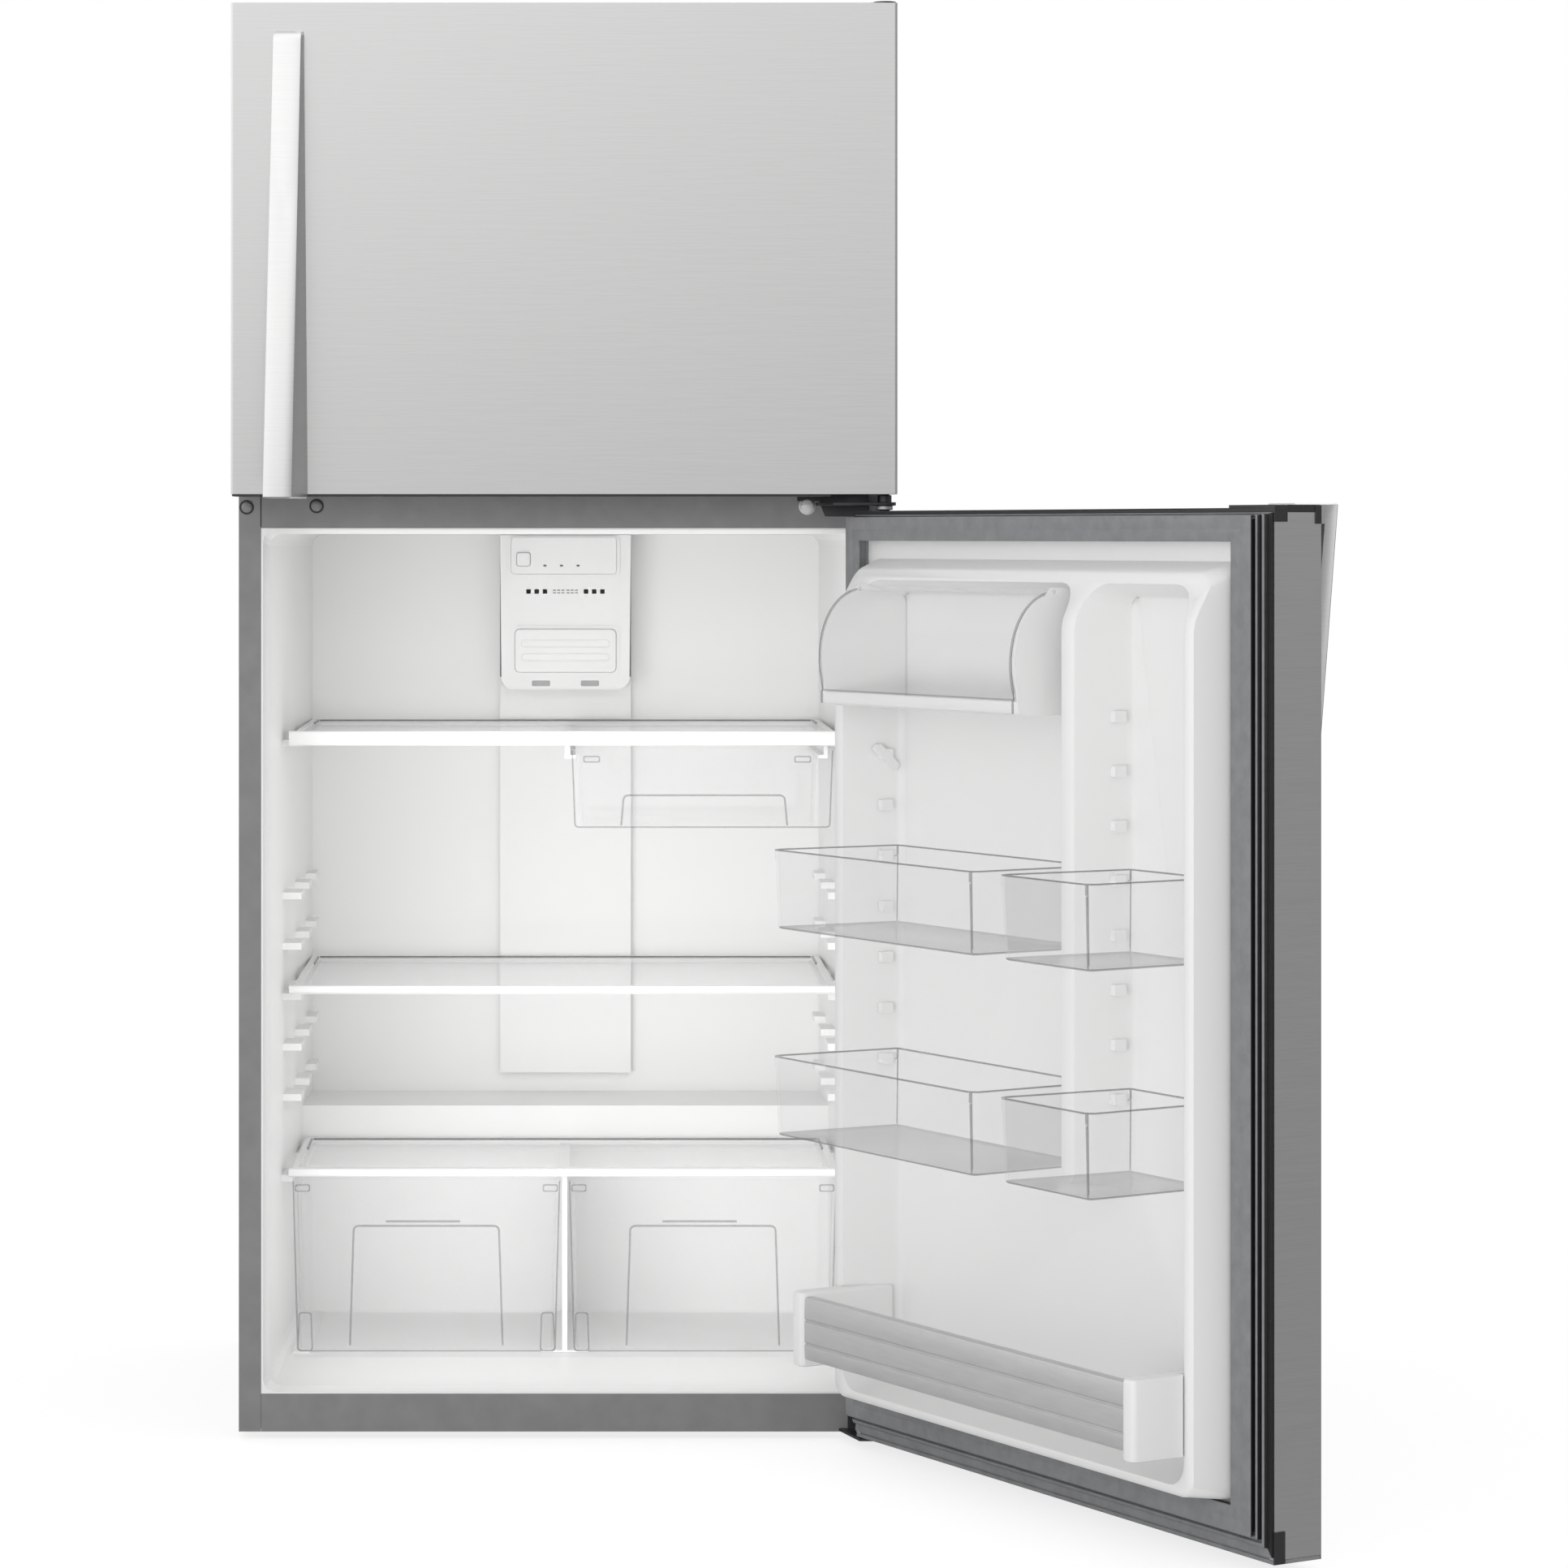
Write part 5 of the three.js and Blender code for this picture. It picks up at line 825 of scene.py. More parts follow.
BIN_DEEP = (62.0, 228.0)
BIN_HEIGHT = 88.0
BIN_RIM = 1.6
WALL_RIGHT = CREST_IN[1] - LUG_INSET - 2.5
WALL_LEFT = CREST_IN[0] + LUG_INSET + 2.5
WIDE = (RIB[1] + 7, CREST_IN[1] - 18)
NARROW = (CREST_IN[0] + 13, RIB[0] - 12)


def bin_outline(x, inset, back_in):
    back, front = grown(x, -back_in - inset), grown(x, -inset)
    return fillet(trapezoid(back, front, grown(BIN_DEEP, -inset), 4, max(4.0, 13 - inset)), 7)


def bin_edges(rim):
    """The rim, the foot, one facet of each rounded front corner and the back corners, which get painted dark
    refraction lines.
    """
    def chosen(center, normal):
        rising = center.z - rim + BIN_HEIGHT
        corner = center.y > BIN_DEEP[1] - 16 and 0.5 < abs(normal.x) < 0.6 and abs(normal.z) < 0.3
        hook_end = center.y < BIN_DEEP[0] + 6 and 0.45 < abs(normal.x) < 0.75
        return rising > BIN_HEIGHT - BIN_RIM or rising < 2.4 or corner or hook_end
    return shading("clear_edge", chosen)


def door_bin(x, rim, back_in, hooks):
    foot = [(8.0, 0), (5.4, 1.0), (4.6, 2.6), (4.2, 4.0)]
    edge = [(1.2, 13), (0.2, 12), (0, 10), (0, BIN_RIM), (0, 0.6), (0.6, 0), (3.2, 0), (3.8, 0.6),
            (3.8, BIN_RIM), (3.8, 12)]
    floor = [(6.8, 6.0), (8.4, 3.2), (11.0, 2.5)]
    body = tub(lambda by: bin_outline(x, by, back_in), (rim - BIN_HEIGHT, rim), foot, edge, floor)
    return join(body, *[hook(across, rim - 6.7) for across in hooks])


for row in ("upper", "lower"):
    rim = span(row + "_bin_wide")[2][1]
    bins = {
        "wide": (WIDE, rim, 6, [(WIDE[1] - 7, WALL_RIGHT), (RIB[1] + 8, WIDE[0] + 9)]),
        "narrow": (NARROW, rim, 7, [(WALL_LEFT, NARROW[0] + 9), (NARROW[1] - 8, RIB[0] - 8)]),
    }
    for kind, sizes in bins.items():
        piece("%s_%s_bin" % (row, kind), "fridge_door", "clear_plastic", door_bin(*sizes),
              "%s_bin_%s" % (row, kind), bevel=0, shade=bin_edges(rim))

# ---- bottle retainer

BAR_X, BAR_DEEP, BAR_Z = span("retainer_bar")


def retainer_bar():
    """A bar with two grooves along its face, open at the back."""
    front, inside, back = BAR_DEEP[1], BAR_DEEP[1] - 4, BAR_DEEP[0]
    low, high = BAR_Z
    grooves = []
    for middle in (low + 18.2, low + 44.2):
        grooves += [(front, middle - 2.2, 0.8), (front - 1.5, middle, 0.8), (front, middle + 2.2, 0.8)]
    section = [
        (back, low, 0.8), (front - 0.4, low, 3.0), *grooves, (front - 0.4, high, 3.0), (back, high, 0.8),
        (back, high - 2.2, 0.8), (inside, high - 2.2, 1.0), (inside, low + 2.2, 1.0), (back, low + 2.2, 0.8),
    ]
    return prism("x", fillet(section, 2), BAR_X)


# The retainer's groove walls, which get painted shade.
def groove_faces(center, normal):
    return BAR_DEEP[1] - 1.6 < center.y < BAR_DEEP[1] - 0.1 and 0.1 < normal.y < 0.9


def retainer_bracket(side, inner):
    """One end of the retainer, on the recess's slanted wall and over the rim's crest."""
    front = BAR_DEEP[1]
    crest = CREST_IN[1] if side > 0 else -CREST_IN[0]
    low = RECESS + 14
    foot = crest - wall_inset(low) - 0.4
    corners = [
        (inner, low, 2), (foot, low, 1), (crest - 0.6, CREST - 3, 0.6), (crest + 1.0, CREST + 1.2, 0.8),
        (crest + 4, CREST + 2.5, 1.5), (crest + 4, front + 4, 6), (inner, front + 4, 7),
    ]
    outline = [(side * u, v) for u, v in fillet(corners, 5)]
    middle = (side * (inner + crest) / 2, (low + front) / 2)
    low_end, high_end = BAR_Z[0] - 8, BAR_Z[1] + 5
    levels = [
        (2.2, low_end), (0.5, low_end + 1), (0, low_end + 3), (0, high_end - 5), (0.5, high_end - 2),
        (1.5, high_end - 0.6), (3.5, high_end),
    ]
    return shaped("z", lambda by: [toward(point, middle, by) for point in outline], levels)


retainer = piece("retainer_face", "fridge_door", "aluminium", retainer_bar(), "retainer_bar", bevel=0,
                 shade=shading("pocket_grey", groove_faces))
retainer.visible_shadow = False
for name, side, inner in (("hinge_side", 1, BAR_X[1] - 3), ("handle_side", -1, -BAR_X[0] - 11)):
    piece("retainer_end_" + name, "fridge_door", "white_plastic", retainer_bracket(side, inner),
          "retainer_bracket_" + name, bevel=0.4)

# ---- dairy box

PIVOT = AJAR.inverted() @ Vector(joint("dairy_cover_hinge")["pos_m"])
PIN_RADIUS = 2.2
DAIRY = (RIB[1] + 22, CREST_IN[1] - 20)
DAIRY_LOW = span("dairy_tray")[2][0]
LID_X = grown(DAIRY, -3.1)
LID_CURVE = [(PIVOT.y, PIVOT.z), (PIVOT.y + 44, PIVOT.z - 4), (PIVOT.y + 66, PIVOT.z - 60),
             (PIVOT.y + 48, DAIRY_LOW + 15.5)]
LID_EDGE = LID_CURVE[-1]
LID_HALF = 1.2  # half the lid's thickness
LID_STEPS = 14


def bezier(points, t):
    while len(points) > 1:
        points = [tuple(p + (q - p) * t for p, q in zip(a, b)) for a, b in zip(points, points[1:])]
    return points[0]


def curved(offset, start):
    """The dairy cover's curve from near its hinge to its lower edge, moved out by an offset."""
    points = []
    for k in range(LID_STEPS + 1):
        t = start + (1 - start) * k / LID_STEPS
        u, v = bezier(LID_CURVE, t)
        ahead, behind = bezier(LID_CURVE, min(1, t + 0.01)), bezier(LID_CURVE, max(0, t - 0.01))
        way = Vector((ahead[0] - behind[0], ahead[1] - behind[1])).normalized()
        points.append((u - way.y * offset, v + way.x * offset))
    return points


def dairy_cover():
    """The curved lid with a flap under its lower edge."""
    u, v = LID_EDGE
    front, back = u + 4.4, u + 2.6
    flap = [(u + 1.3, v + 2.2), (front, v + 0.6), (front, v - 13), (back, v - 13.5), (back, v - 0.4)]
    outline = curved(LID_HALF, 0.04)[:-1] + flap + curved(-LID_HALF, 0.04)[::-1][1:]
    stations = (LID_X[0], LID_X[0] + 1.6, LID_X[1] - 1.6, LID_X[1])
    return loft("x", [(outline, x) for x in stations])


def dairy_pivot():
    barrel = prism("x", circle(PIVOT.y, PIVOT.z, 3.0, 20), LID_X)
    return join(barrel, prism("x", circle(PIVOT.y, PIVOT.z, PIN_RADIUS, 16), grown(LID_X, 2.6)))


def lid_edges(center, normal):
    """The lid's two ends and the flap under its lower edge, which get painted dark refraction lines."""
    ends = not DAIRY[0] + 5.2 < center.x < DAIRY[1] - 5.2
    rise = center.z - LID_EDGE[1]
    return ends or rise < -12 or (0.4 < rise < 3 and center.y > LID_EDGE[0])


def dairy_tray():
    """The box under the cover: two rounded end walls, a floor and a raised front lip."""
    back, front, low, wall = RECESS + 0.3, PIVOT.y + 48, DAIRY_LOW, 2.5
    end = fillet([
        (back, low, 4), (front - 1, low, 9), (front - 0.6, low + 13, 2),
        *[(u, v, 0) for u, v in curved(-2.6, 0.12)[-2::-1]],
        (PIVOT.y + 4, PIVOT.z + 4.5, 3), (PIVOT.y - 9, PIVOT.z + 4.5, 3), (back, PIVOT.z - 10, 6),
    ])
    floor = fillet([
        (back, low, 0.8), (front - 1, low, 7), (front, low + 15, 1.2), (front - 2.4, low + 15, 1.2),
        (front - 3.4, low + wall, 4), (back, low + wall, 0.8),
    ])
    walls = [prism("x", end, (x, x + wall)) for x in (DAIRY[0], DAIRY[1] - wall)]
    reaches = ((RIB[1] + 8, DAIRY[0] + 1), (DAIRY[1] - 1, WALL_RIGHT))
    ears = [hook(across, LUG_TOP + 0.3) for across in reaches]
    whole = join(prism("x", floor, DAIRY), *walls, *ears)
    return cut(whole, prism("x", circle(PIVOT.y, PIVOT.z, PIN_RADIUS + 0.5, 16), grown(DAIRY, 1)))


piece("dairy_box", "fridge_door", "white_plastic", dairy_tray(), "dairy_tray", bevel=0.5)
piece("dairy_lid", "dairy_cover", "clear_plastic", dairy_cover(), "dairy_cover", bevel=0,
      shade=shading("clear_edge", lid_edges))
piece("dairy_lid_pivot", "dairy_cover", "clear_plastic", dairy_pivot(), bevel=0)

# ---- door caps and hinges

STEEL_EDGE = (DOOR_X[0] - 1.3, DOOR_X[0] + 1.0)
cap_top = span("fridge_door_top_cap")[2][1]
cap_low = span("fridge_door_bottom_cap")[2][0]
TABS = {
    "fridge_top_tab": ((45, DOOR_DEEP[1] + 0.6), (cap_top - 17, cap_top - 0.4)),
    "fridge_top_corner": ((2.0, 9.5), (cap_top - 19, cap_top - 0.4)),
    "fridge_bottom_corner": ((48, DOOR_DEEP[1] + 0.6), (cap_low + 0.4, cap_low + 33)),
}
for name, (deep, high) in TABS.items():
    piece(name, "fridge_door", "dark_plastic", block(STEEL_EDGE, deep, high), bevel=0.5)
piece("fridge_bottom_end", "fridge_door", "gasket_rubber", tracing("fridge_door_bottom_cap"),
      "fridge_door_bottom_cap", bevel=0.5)


def dome(u, v, base, radius, height):
    """A screw's flanged dome, from its base plane to the front."""
    steps = [(1.12, 0.0), (1.12, 0.12), (1.0, 0.18), (0.97, 0.5), (0.82, 0.78), (0.5, 0.94), (0.12, 1.0)]
    return loft("y", [(circle(u, v, radius * wide, 28), base - height * rise) for wide, rise in steps])


RAIL_X, (FRONT, _), RAIL_Z = span("mullion_rail")
PLATE_X, PLATE_DEEP, _ = span("center_hinge")
HINGE_AT = SHUT.inverted() @ Vector(joint("fridge_door_hinge")["pos_m"])
# What is cut away from the lower left of the hinge's plate, to the slanted edge of its arm.
wedge_left = PLATE_X[0] - 2
wedge = fillet(trapezoid((wedge_left, PLATE_X[0] + 39), (wedge_left, PLATE_X[0] + 25),
                         (RAIL_Z[0] - 4, DOOR_Z[1] + 11.5)))
plate = cut(tracing("center_hinge"), prism("y", wedge, (FRONT - 9, PLATE_DEEP[1] + 1)))
screw = dome(PLATE_X[0] + 11.5, DOOR_Z[1] + 5.5, FRONT + 0.5, 8.6, 9.5)
sleeve = prism("z", circle(HINGE_AT.x, HINGE_AT.y, 9.4), (DOOR_Z[1] + 1.2, DOOR_Z[1] + 6.0))
piece("center_hinge_plate", "cabinet", "dark_steel", plate, "center_hinge", bevel=0.5)
# The screw is painted with a brighter copy of zinc, a painted highlight.
piece("center_hinge_screw", "cabinet", "zinc_steel", screw, bevel=0, shade=shading("bright_zinc"))
piece("center_hinge_sleeve", "cabinet", "zinc_steel", sleeve, bevel=0.8)

# ---- cabinet opening

FLANGE_WIDTH = 25.5
OPENING_X = grown(RAIL_X, 0.2)


def mouth_lip(low, high):
    """Fills the square corners of an opening round the liner's rounded mouth."""
    hole = rounded(grown(OPENING_X, -2.0), (low + 2.0, high - 2.0), 13.5, 5)
    return tile(grown(OPENING_X, -0.1), (low + 0.2, high - 0.2), 0, 0, (FRONT + 0.3, FRONT + 1.6), hole)


for name, low, high in (
    ("fresh_liner_lip", span("bottom_rail")[2][1], RAIL_Z[0]),
    ("freezer_liner_lip", RAIL_Z[1], span("cabinet_wrapper")[2][1] - FLANGE_WIDTH),
):
    piece(name, "cabinet", "white_liner", mouth_lip(low, high), bevel=0)

# ---- controls

HOUSING_X, (HOUSING_FRONT, HOUSING_BACK), HOUSING_Z = span("control_housing")
PANEL_X, PANEL_DEEP, PANEL_Z = span("control_panel")
BUTTON_X, BUTTON_DEEP, BUTTON_Z = span("control_button")
LENS_X, LENS_DEEP, LENS_Z = span("light_lens")
SLOT_HALF, VENT_HALF = 0.8, 2.9
PANEL_FACE = PANEL_DEEP[0] + 1.5  # the plate's face, set back from the panel's front


def from_front(start, end):
    return (HOUSING_FRONT + start, HOUSING_FRONT + end)


def housing_outline(inset, radius, top_inset, top_radius, drop=0.0):
    """The unit seen from the front: round corners below, nearly square ones at the ceiling."""
    low, top = grown(HOUSING_X, -inset), grown(HOUSING_X, -top_inset)
    return fillet(trapezoid(low, top, (HOUSING_Z[0] + inset, HOUSING_Z[1] - drop), radius, top_radius), 6)


def control_housing():
    """An open box with a rim round the panel, a rim round the lamp cover, slots and vents."""
    outline, inner = housing_outline(0, 17, 0, 2), housing_outline(2.5, 14, 2.5, 1, 2.5)
    levels = [
        (housing_outline(2, 15, 0.1, 1), HOUSING_FRONT), (outline, HOUSING_FRONT + 2.4),
        (outline, HOUSING_BACK), (inner, HOUSING_BACK), (inner, HOUSING_FRONT + 2.6),
    ]
    bezel = tile(grown(PANEL_X, 4.5), (PANEL_Z[0] - 4.5, HOUSING_Z[1] - 1), 9, 4, from_front(-2.4, 1),
                 rounded(grown(PANEL_X, 0.4), grown(PANEL_Z, 0.4), 5))
    ring = tile(grown(LENS_X, 4.5), grown(LENS_Z, 4.5), 8, 4, from_front(-1.8, 1),
                rounded(grown(LENS_X, 0.4), grown(LENS_Z, 0.4), 6))
    row = PANEL_Z[0] - 22.3
    pocket = (HOUSING_Z[0] + 5, HOUSING_Z[0] + 12.2)
    cuts = []
    for side in (-1, 1):
        for out in (26, 36.4, 46.8):
            vent = (around(side * out, VENT_HALF), around(row, VENT_HALF))
            cuts.append(tile(*vent, 0.8, 2, from_front(-1, 4)))
        for out in (3.2, 8.6, 14.0):
            for up in (-1.7, 1.7):
                slot = (around(side * out, 2.0), around(row + up, SLOT_HALF))
                cuts.append(tile(*slot, 0.6, 2, from_front(-1, 1.6)))
        cuts.append(tile(around(side * 31, 11.5), pocket, 1.5, 3, from_front(-1, 1.4)))
    return cut(join(loft("y", levels), bezel, ring), *cuts)


def control_panel():
    plate = tile(PANEL_X, PANEL_Z, 4.5, 4, (PANEL_FACE, PANEL_DEEP[1]))
    marks_z, marks_deep = around(PANEL_Z[0] + 10.5, 1.2), (PANEL_DEEP[0], PANEL_DEEP[0] + 2.6)
    marks = [tile(around(at, 2.1), marks_z, 1.1, 3, marks_deep) for at in (-26, -5, 16)]
    hole = tile(grown(BUTTON_X, 0.5), grown(BUTTON_Z, 0.5), 3.2, 4, grown(PANEL_DEEP, 1))
    return cut(plate, hole, *marks)


def stepped(x, z, radius, narrowing, levels):
    """A rounded block whose outline is drawn in by so much at each depth."""
    return shaped("y", lambda by: rounded(grown(x, -by), grown(z, -by), radius - by * narrowing), levels)


def control_button():
    front, back = BUTTON_DEEP
    levels = [(0.0, back), (0.0, front + 1.2), (0.4, front + 0.4), (1.2, front), (5.2, front + 0.5)]
    return stepped(BUTTON_X, BUTTON_Z, 3, 0.4, levels)


def light_lens():
    """The lamp's cover with two raised loops."""
    front = LENS_DEEP[0] + 1.2
    levels = [(0, LENS_DEEP[1]), (0, front + 1.5), (0.5, front + 0.5), (1.8, front)]
    loops = []
    for center in (LENS_Z[0] + 18.5, LENS_Z[0] + 36):
        inner = rounded(grown(LENS_X, -9.4), around(center, 3.8), 3.5, 5)
        loops.append(tile(grown(LENS_X, -8), around(center, 5.2), 4.8, 5, (front - 1.1, front + 0.5), inner))
    return join(stepped(LENS_X, LENS_Z, 6, 0.5, levels), *loops)


def housing_painted_shade_faces(center, normal):
    """The bevel down both sides and the insides of the vents, which get painted shade."""
    behind = center.y - HOUSING_FRONT
    sides = -0.1 < behind < 2.5 and abs(normal.x) > 0.5 and abs(center.x) > HOUSING_X[1] - 3
    vents = 3.5 < behind < 4.5 and abs(center.x) < 60 and normal.y < -0.5
    return (sides and center.z > HOUSING_Z[0] + 25) or vents


# The floors of the shallow slots and pockets, which get painted shade.
def pocket_floors(center, normal):
    return 1.3 < center.y - HOUSING_FRONT < 1.7 and abs(center.x) < 60 and normal.y < -0.5


def housing_shades(obj, back):
    shading("seam_grey", housing_painted_shade_faces)(obj, back)
    shading("pocket_grey", pocket_floors)(obj, back)


# The floors of the panel's marks, which are printed grey.
def mark_floors(center, normal):
    return PANEL_DEEP[0] + 2.4 < center.y < PANEL_DEEP[1] - 0.2 and normal.y < -0.5


piece("control_cover", "cabinet", "white_plastic", control_housing(), "control_housing", bevel=0,
      shade=housing_shades)
piece("control_plate", "cabinet", "white_plastic", control_panel(), "control_panel", bevel=0,
      shade=shading("seam_grey", mark_floors))
piece("control_key", "control_button", "white_plastic", control_button(), "control_button", bevel=0.2)
piece("light_cover", "cabinet", "white_plastic", light_lens(), "light_lens", bevel=0.3)

# ---- drawers

TUB_WALL = 2.5
PLATE_THICK = 2.8
GRIP_WIDTH = 2.2
CRISPER_FACE, DELI_FACE = 2.0, 3.0  # front plate behind the grip's front


def drawer_tub(x, y, z, draft):
    inner = draft + TUB_WALL
    foot = [(draft + 2.6, 0), (draft + 0.8, 0.9), (draft, 3)]
    edge = [(1.4, 11), (0.1, 10), (0, 9), (0, 0.8), (0.8, 0), (TUB_WALL + 0.8, 0), (TUB_WALL + 1.6, 0.8),
            (TUB_WALL + 1.6, 11)]
    floor = [(inner, 5.5), (inner + 1, 3.2), (inner + 3.4, 2.5)]
    return tub(lambda by: rounded(grown(x, -by), (y[0], y[1] - by), 9), z, foot, edge, floor)


def front_plate(x, deep, z, draft):
    def outline(by):
        return fillet(trapezoid(grown(x, -draft - by), grown(x, -by), grown(z, -by), 5 - by, 2.5))

    return shaped("y", outline, [(1.9, deep[0]), (0, deep[0] + 1.2), (0, deep[1])])


def front_lines(deep, top, zone):
    """The front plate's bevelled outline and what stands on it, painted with the dark lines that refraction
    gives at thick clear edges.
    """
    def chosen(center, normal):
        rim = center.y < deep + 1.3 and -0.9 < normal.y < -0.3 and center.z < top - 3
        grip = center.y < deep - 0.05 and zone[0] < center.x < zone[1]
        return rim or grip
    return shading("clear_edge", chosen)


def raised(corners, deep):
    """A small block on a front plate, with the bevelled outline that a moulding has."""
    middle = [sum(corner[k] for corner in corners) / len(corners) for k in (0, 1)]

    def outline(by):
        return fillet([(*toward(corner, middle, by), corner[2]) for corner in corners], 3)

    return shaped("y", outline, [(1.5, deep[0]), (0, deep[0] + 1.4), (0, deep[1])])


def grip_frame(x, deep, z, flare):
    """An upside-down U that stands on the plate round the place for the hand."""
    def outline(by):
        left, right = grown(x, -by)
        return fillet([(left - flare, z[0], 0), (left, z[1] - by, 7 - by), (right, z[1] - by, 7 - by),
                       (right + flare, z[0], 0)])

    return prism("y", outline(0) + outline(GRIP_WIDTH)[::-1], deep)


def crisper(node):
    """A tub behind a front plate with a grip, two bars, and a roller and clip at each side."""
    x, y, z = span(node)
    draft = 5.5
    face = (y[0] + CRISPER_FACE, y[0] + CRISPER_FACE + PLATE_THICK)
    on_face = (y[0] + 0.3, face[0] + 0.4)
    middle = (x[0] + x[1]) / 2
    parts = [
        front_plate(x, face, z, draft),
        grip_frame(around(middle, 87), (y[0], face[0] + 0.5), (z[0] + 8, z[1] - 54), 4.5),
    ]
    for start in (middle - 48, middle - 4):
        parts.append(block((start, start + 44), (y[0], face[0] + 0.4), (z[1] - 51, z[1] - 48.6)))
    for side, end in ((-1, x[0]), (1, x[1])):
        foot = sorted((end - side * (draft + 0.5), end - side * (draft + 19)))
        roller = trapezoid(foot, grown(foot, -1.5), (z[0] + 1, z[0] + 47), 3, 3)
        clip = rectangle(sorted((end - side * 3, end - side * 21)), (z[1] - 15, z[1] - 6), 2)
        parts += [raised(roller, on_face), raised(clip, on_face)]
    return join(drawer_tub(grown(x, -0.6), (face[1] - 1, y[1]), (z[0], z[1] - 4), draft), *parts)


def deli():
    """A tub behind a wider front plate, hung from a flange at each side."""
    x, y, z = span("deli_drawer")
    face = (y[0] + DELI_FACE, y[0] + DELI_FACE + PLATE_THICK)
    rim, edge = z[1] - 5, x[1] - 12.5
    parts = [
        front_plate(x, face, z, 3.5),
        grip_frame((x[0] + 61, x[1] - 57), (y[0], face[0] + 0.5), (z[0] + 3, z[0] + 40), 3),
    ]
    for across in ((x[0], x[0] + 8), (edge - 8, edge)):
        parts.append(block(across, (face[1] - 1, y[1] - 8), (rim - 3, rim)))
    for start in (x[0] + 14, edge - 34):
        clip = rectangle((start, start + 20), (z[1] - 17, z[1] - 9), 2)
        parts.append(raised(clip, (y[0] + 1.3, face[0] + 0.4)))
    return join(drawer_tub((x[0] + 6, edge - 6), (face[1] - 1, y[1]), (z[0] + 2, rim), 4), *parts)


for side in ("left", "right"):
    node = "crisper_drawer_" + side
    wide, deep, high = span(node)
    lines = front_lines(deep[0] + CRISPER_FACE, high[1], grown(wide, -65))
    piece("crisper_" + side, node, "clear_plastic", crisper(node), node, bevel=0, shade=lines)
wide, deep, high = span("deli_drawer")
lines = front_lines(deep[0] + DELI_FACE, high[1], (wide[0] + 56, wide[1] - 52))
piece("deli_box", "deli_drawer", "clear_plastic", deli(), "deli_drawer", bevel=0, shade=lines)

# ---- small lines and fasteners

for k, at in enumerate(grown(RAIL_X, 0.3)):
    line = tile(around(at, 0.7), grown(RAIL_Z, -1), 0, 0, (FRONT - 0.25, FRONT + 0.5))
    piece("mullion_seam_%d" % k, "cabinet", "dark_plastic", line, bevel=0)
for name in ("upper_shelf_glass", "lower_shelf_glass", "crisper_cover_glass"):
    x, (_, back), (_, top) = span(name)
    side_deep, side_high = (back - 95, back - 2.2), (top - 1.6, top + 0.6)
    for end, *extents in (
        ("back", grown(x, -2), (back - 2.0, back - 0.2), (top - 2.0, top + 0.5)),
        ("left", around(x[0], 1.2), side_deep, side_high),
        ("right", around(x[1], 1.2), side_deep, side_high),
    ):
        piece("%s_%s_line" % (name, end), "cabinet", "shelf_glass", block(*extents, 0.3), bevel=0,
              shade=shading("glass_edge"))
# A dark strip under the freezer door's bottom edge: partly its dark bottom cap, partly painted shadow of the
# gap beneath it.
lip_x = (DOOR_X[0] + 1.5, DOOR_X[1] - 75)
lip_z = span("freezer_door_skin")[2][0]
lip = block(lip_x, (1.2, DOOR_DEEP[1] - 2), (lip_z - 2.5, lip_z + 0.6), 0.8)
piece("freezer_door_lip", "freezer_door", "dark_plastic", lip, bevel=0.4)
for name in ("plug_button_outer", "plug_button_inner"):
    x, _, z = span(name)
    middle = ((x[0] + x[1]) / 2, (z[0] + z[1]) / 2)
    radius = (x[1] - x[0]) / 2
    # A thin dark ring round each plug button: painted shadow in the gap round it.
    seat = prism("y", circle(*middle, radius + 1.4, 36), (FRONT - 0.35, FRONT + 0.4))
    piece(name + "_seat", "cabinet", "dark_plastic", seat, bevel=0)
    cap = dome(*middle, FRONT + 0.5, radius * 0.88, 5.0)
    piece(name + "_dome", "cabinet", "grey_paint", cap, name, bevel=0)

# ---- carried-over nodes

for row in frame["record"]["subparts"]:
    node = frame["nodes"][row["node"]]
    slot = row["material_slot"]
    paint(node, slot)
    node.data.shade_smooth()
    soften(node, BEVELS.get(slot, PLAIN_BEVEL))

# ---- stage, lamps and camera

FLOOR_HALF = 30.0
WORLD_LEVEL = 0.66
# Each lamp's place, target, size and power.
LAMPS = {
    "key": ((-2.2, -3.2, 2.4), (-0.3, 0.0, 1.0), (2.4, 2.4), 8.0),
    "front": ((-1.4, -5.4, 1.5), (-0.2, 0.0, 0.9), (3.2, 2.4), 18.0),
    "low": ((-1.6, -4.2, 0.35), (-0.2, 0.0, 0.7), (2.6, 0.7), 38.0),
    "opening": ((-0.206, 0.02, 0.56), (-0.206, 1.0, 0.56), (0.6, 0.94), 1.45),
}
# The camera as solved from the photograph.
CAMERA_AT = (-0.190952, -5.242557, 1.0404)
FOCAL_LENGTH = 105.295
SHIFT = (0.13175, -0.15922)


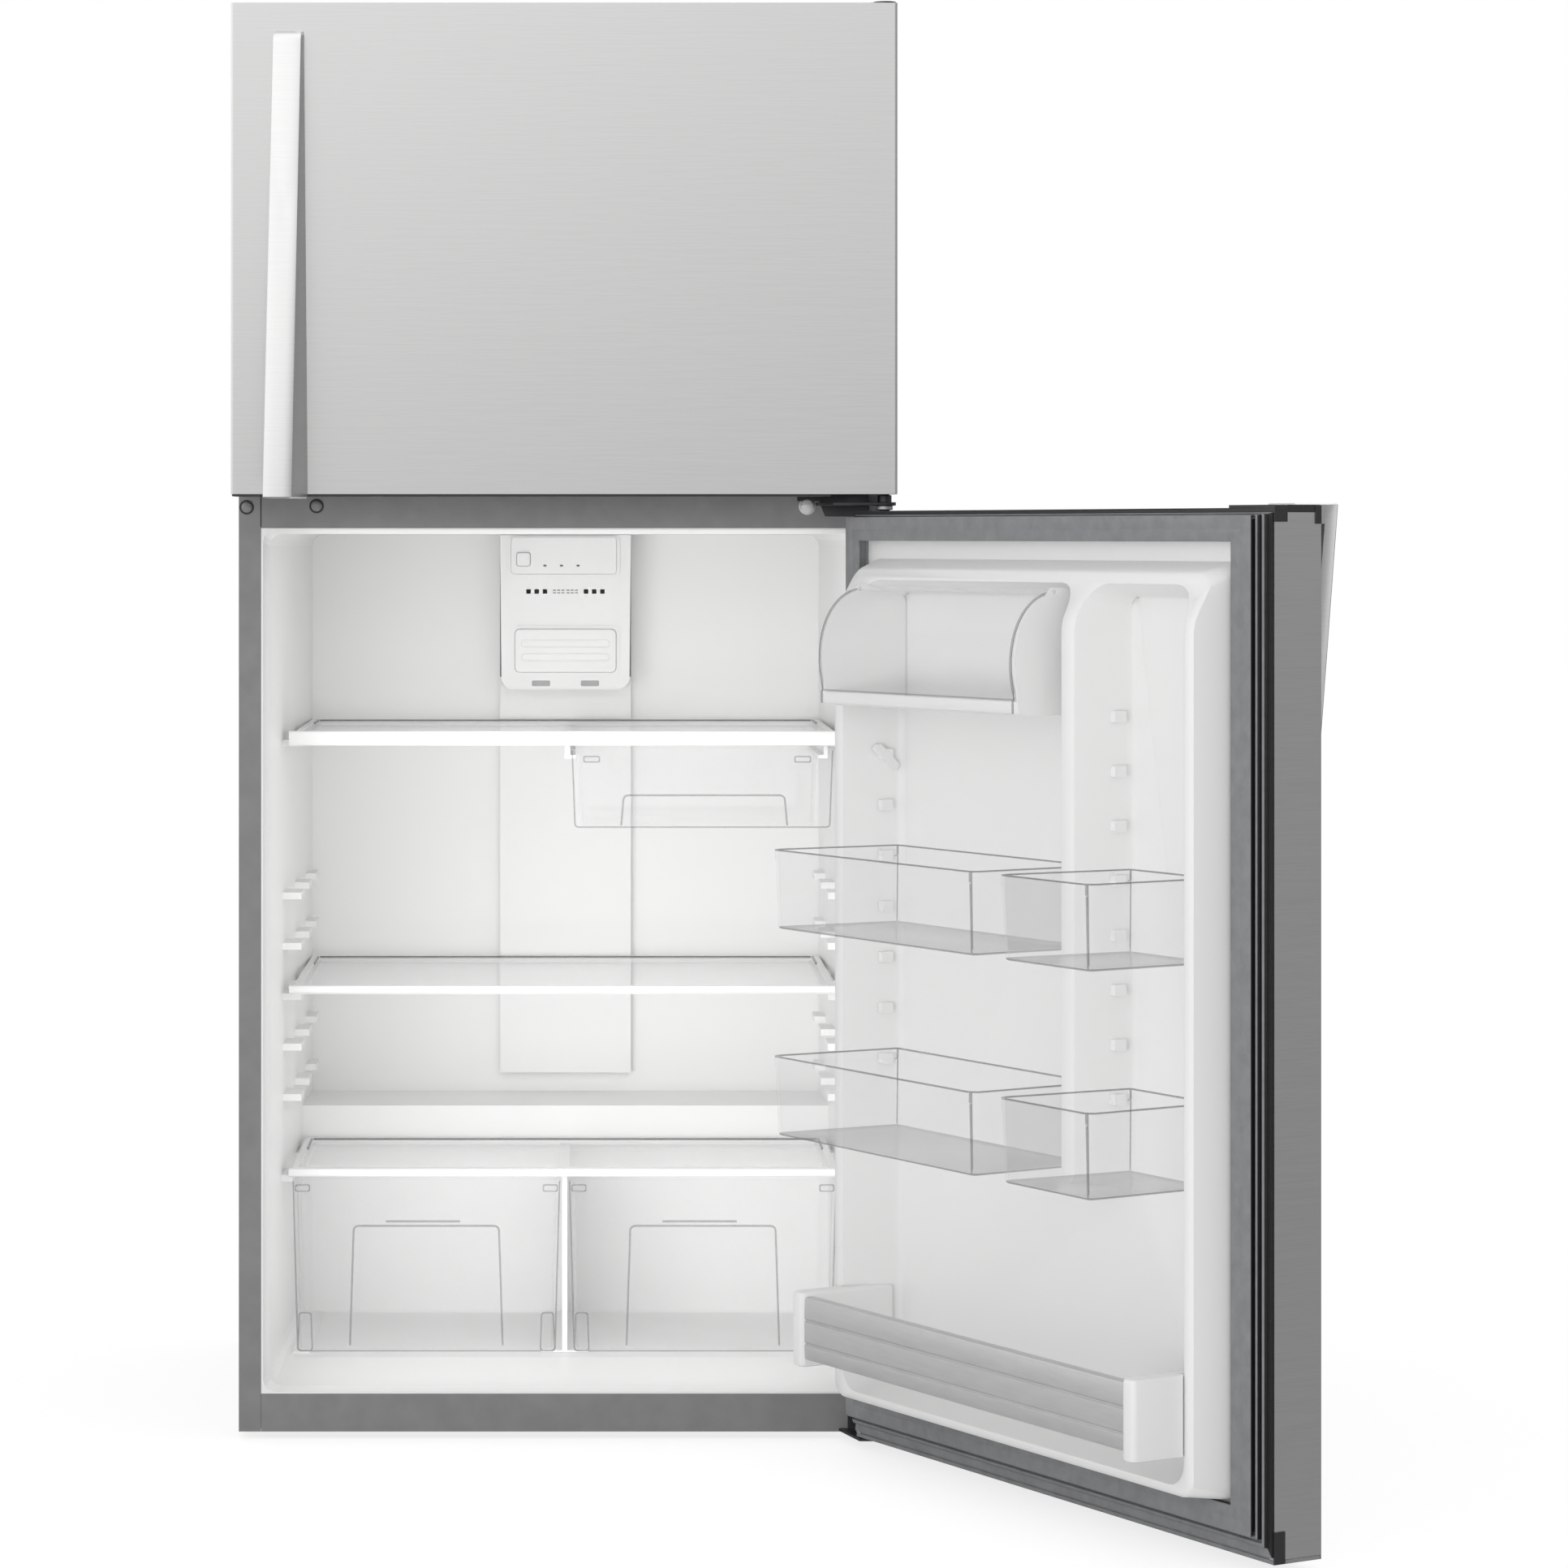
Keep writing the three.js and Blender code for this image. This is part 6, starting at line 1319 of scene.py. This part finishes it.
def stage_floor():
    """A white floor that the camera sees brighter than it is, and that steel sees darker."""
    mesh = bpy.data.meshes.new("floor")
    corners = [(u, v, 0) for u, v in rounded(around(0, FLOOR_HALF), around(0, FLOOR_HALF))]
    mesh.from_pydata(corners, [], [(0, 1, 2, 3)])
    made = Shader((0.93, 0.93, 0.93), 0.8)
    rays = made.node("ShaderNodeLightPath").outputs
    direct = made.either(rays["Is Camera Ray"], rays["Is Transmission Ray"])
    share = made.node("ShaderNodeMath", {0: direct, 1: 0.62}, operation="MULTIPLY").outputs[0]
    seen = made.blend(share, made.shader.outputs[0], made.glow("ShaderNodeEmission", 1.25))
    made.show(made.blend(rays["Is Glossy Ray"], seen, made.glow("ShaderNodeEmission", 0.3)))
    made.material.name = "floor"
    mesh.materials.append(made.material)
    put("floor", mesh)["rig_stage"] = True


def studio_world():
    """Plain white light, with reflections that darken to the right and below; what the camera and
    clear materials see behind the object is white."""
    world = bpy.data.worlds.new("studio")
    bpy.context.scene.world = world
    made = Graph(world, "ShaderNodeOutputWorld")
    rays = made.node("ShaderNodeLightPath").outputs
    direction = made.node("ShaderNodeTexCoord").outputs["Generated"]
    tilt = made.node("ShaderNodeVectorMath", {0: direction, 1: (-3.2, 0.0, 3.4)}, operation="DOT_PRODUCT")
    slope = made.ranged(tilt.outputs["Value"], -0.55, 0.55, 0.38, 1.38)
    plain, white, gloss = (made.glow("ShaderNodeBackground", level) for level in (WORLD_LEVEL, 1.0, slope))
    shiny = made.blend(rays["Is Glossy Ray"], plain, gloss)
    made.show(made.blend(made.either(rays["Is Camera Ray"], rays["Is Transmission Ray"]), shiny, white))


def lamp(name, place, target, size, power):
    light = bpy.data.lights.new(name, "AREA")
    light.shape = "RECTANGLE"
    light.size, light.size_y = size
    light.energy = power
    made = put(name, light)
    made.location = place
    made.rotation_euler = (Vector(target) - Vector(place)).to_track_quat("-Z", "Y").to_euler()
    made.visible_glossy = False
    made.visible_camera = False


def camera():
    data = bpy.data.cameras.new("camera")
    data.sensor_width = 36.0
    data.lens = FOCAL_LENGTH
    data.shift_x, data.shift_y = SHIFT
    data.clip_end = 200.0
    made = put("camera", data)
    made.location = CAMERA_AT
    made.rotation_euler = (math.radians(90), 0, 0)
    bpy.context.scene.camera = made


stage_floor()
studio_world()
for name, sizes in LAMPS.items():
    lamp(name, *sizes)
camera()
bpy.context.scene.view_settings.view_transform = "Standard"

low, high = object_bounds()
{"cad": [list(corner) for corner in cad_box], "visual": [list(low), list(high)]}
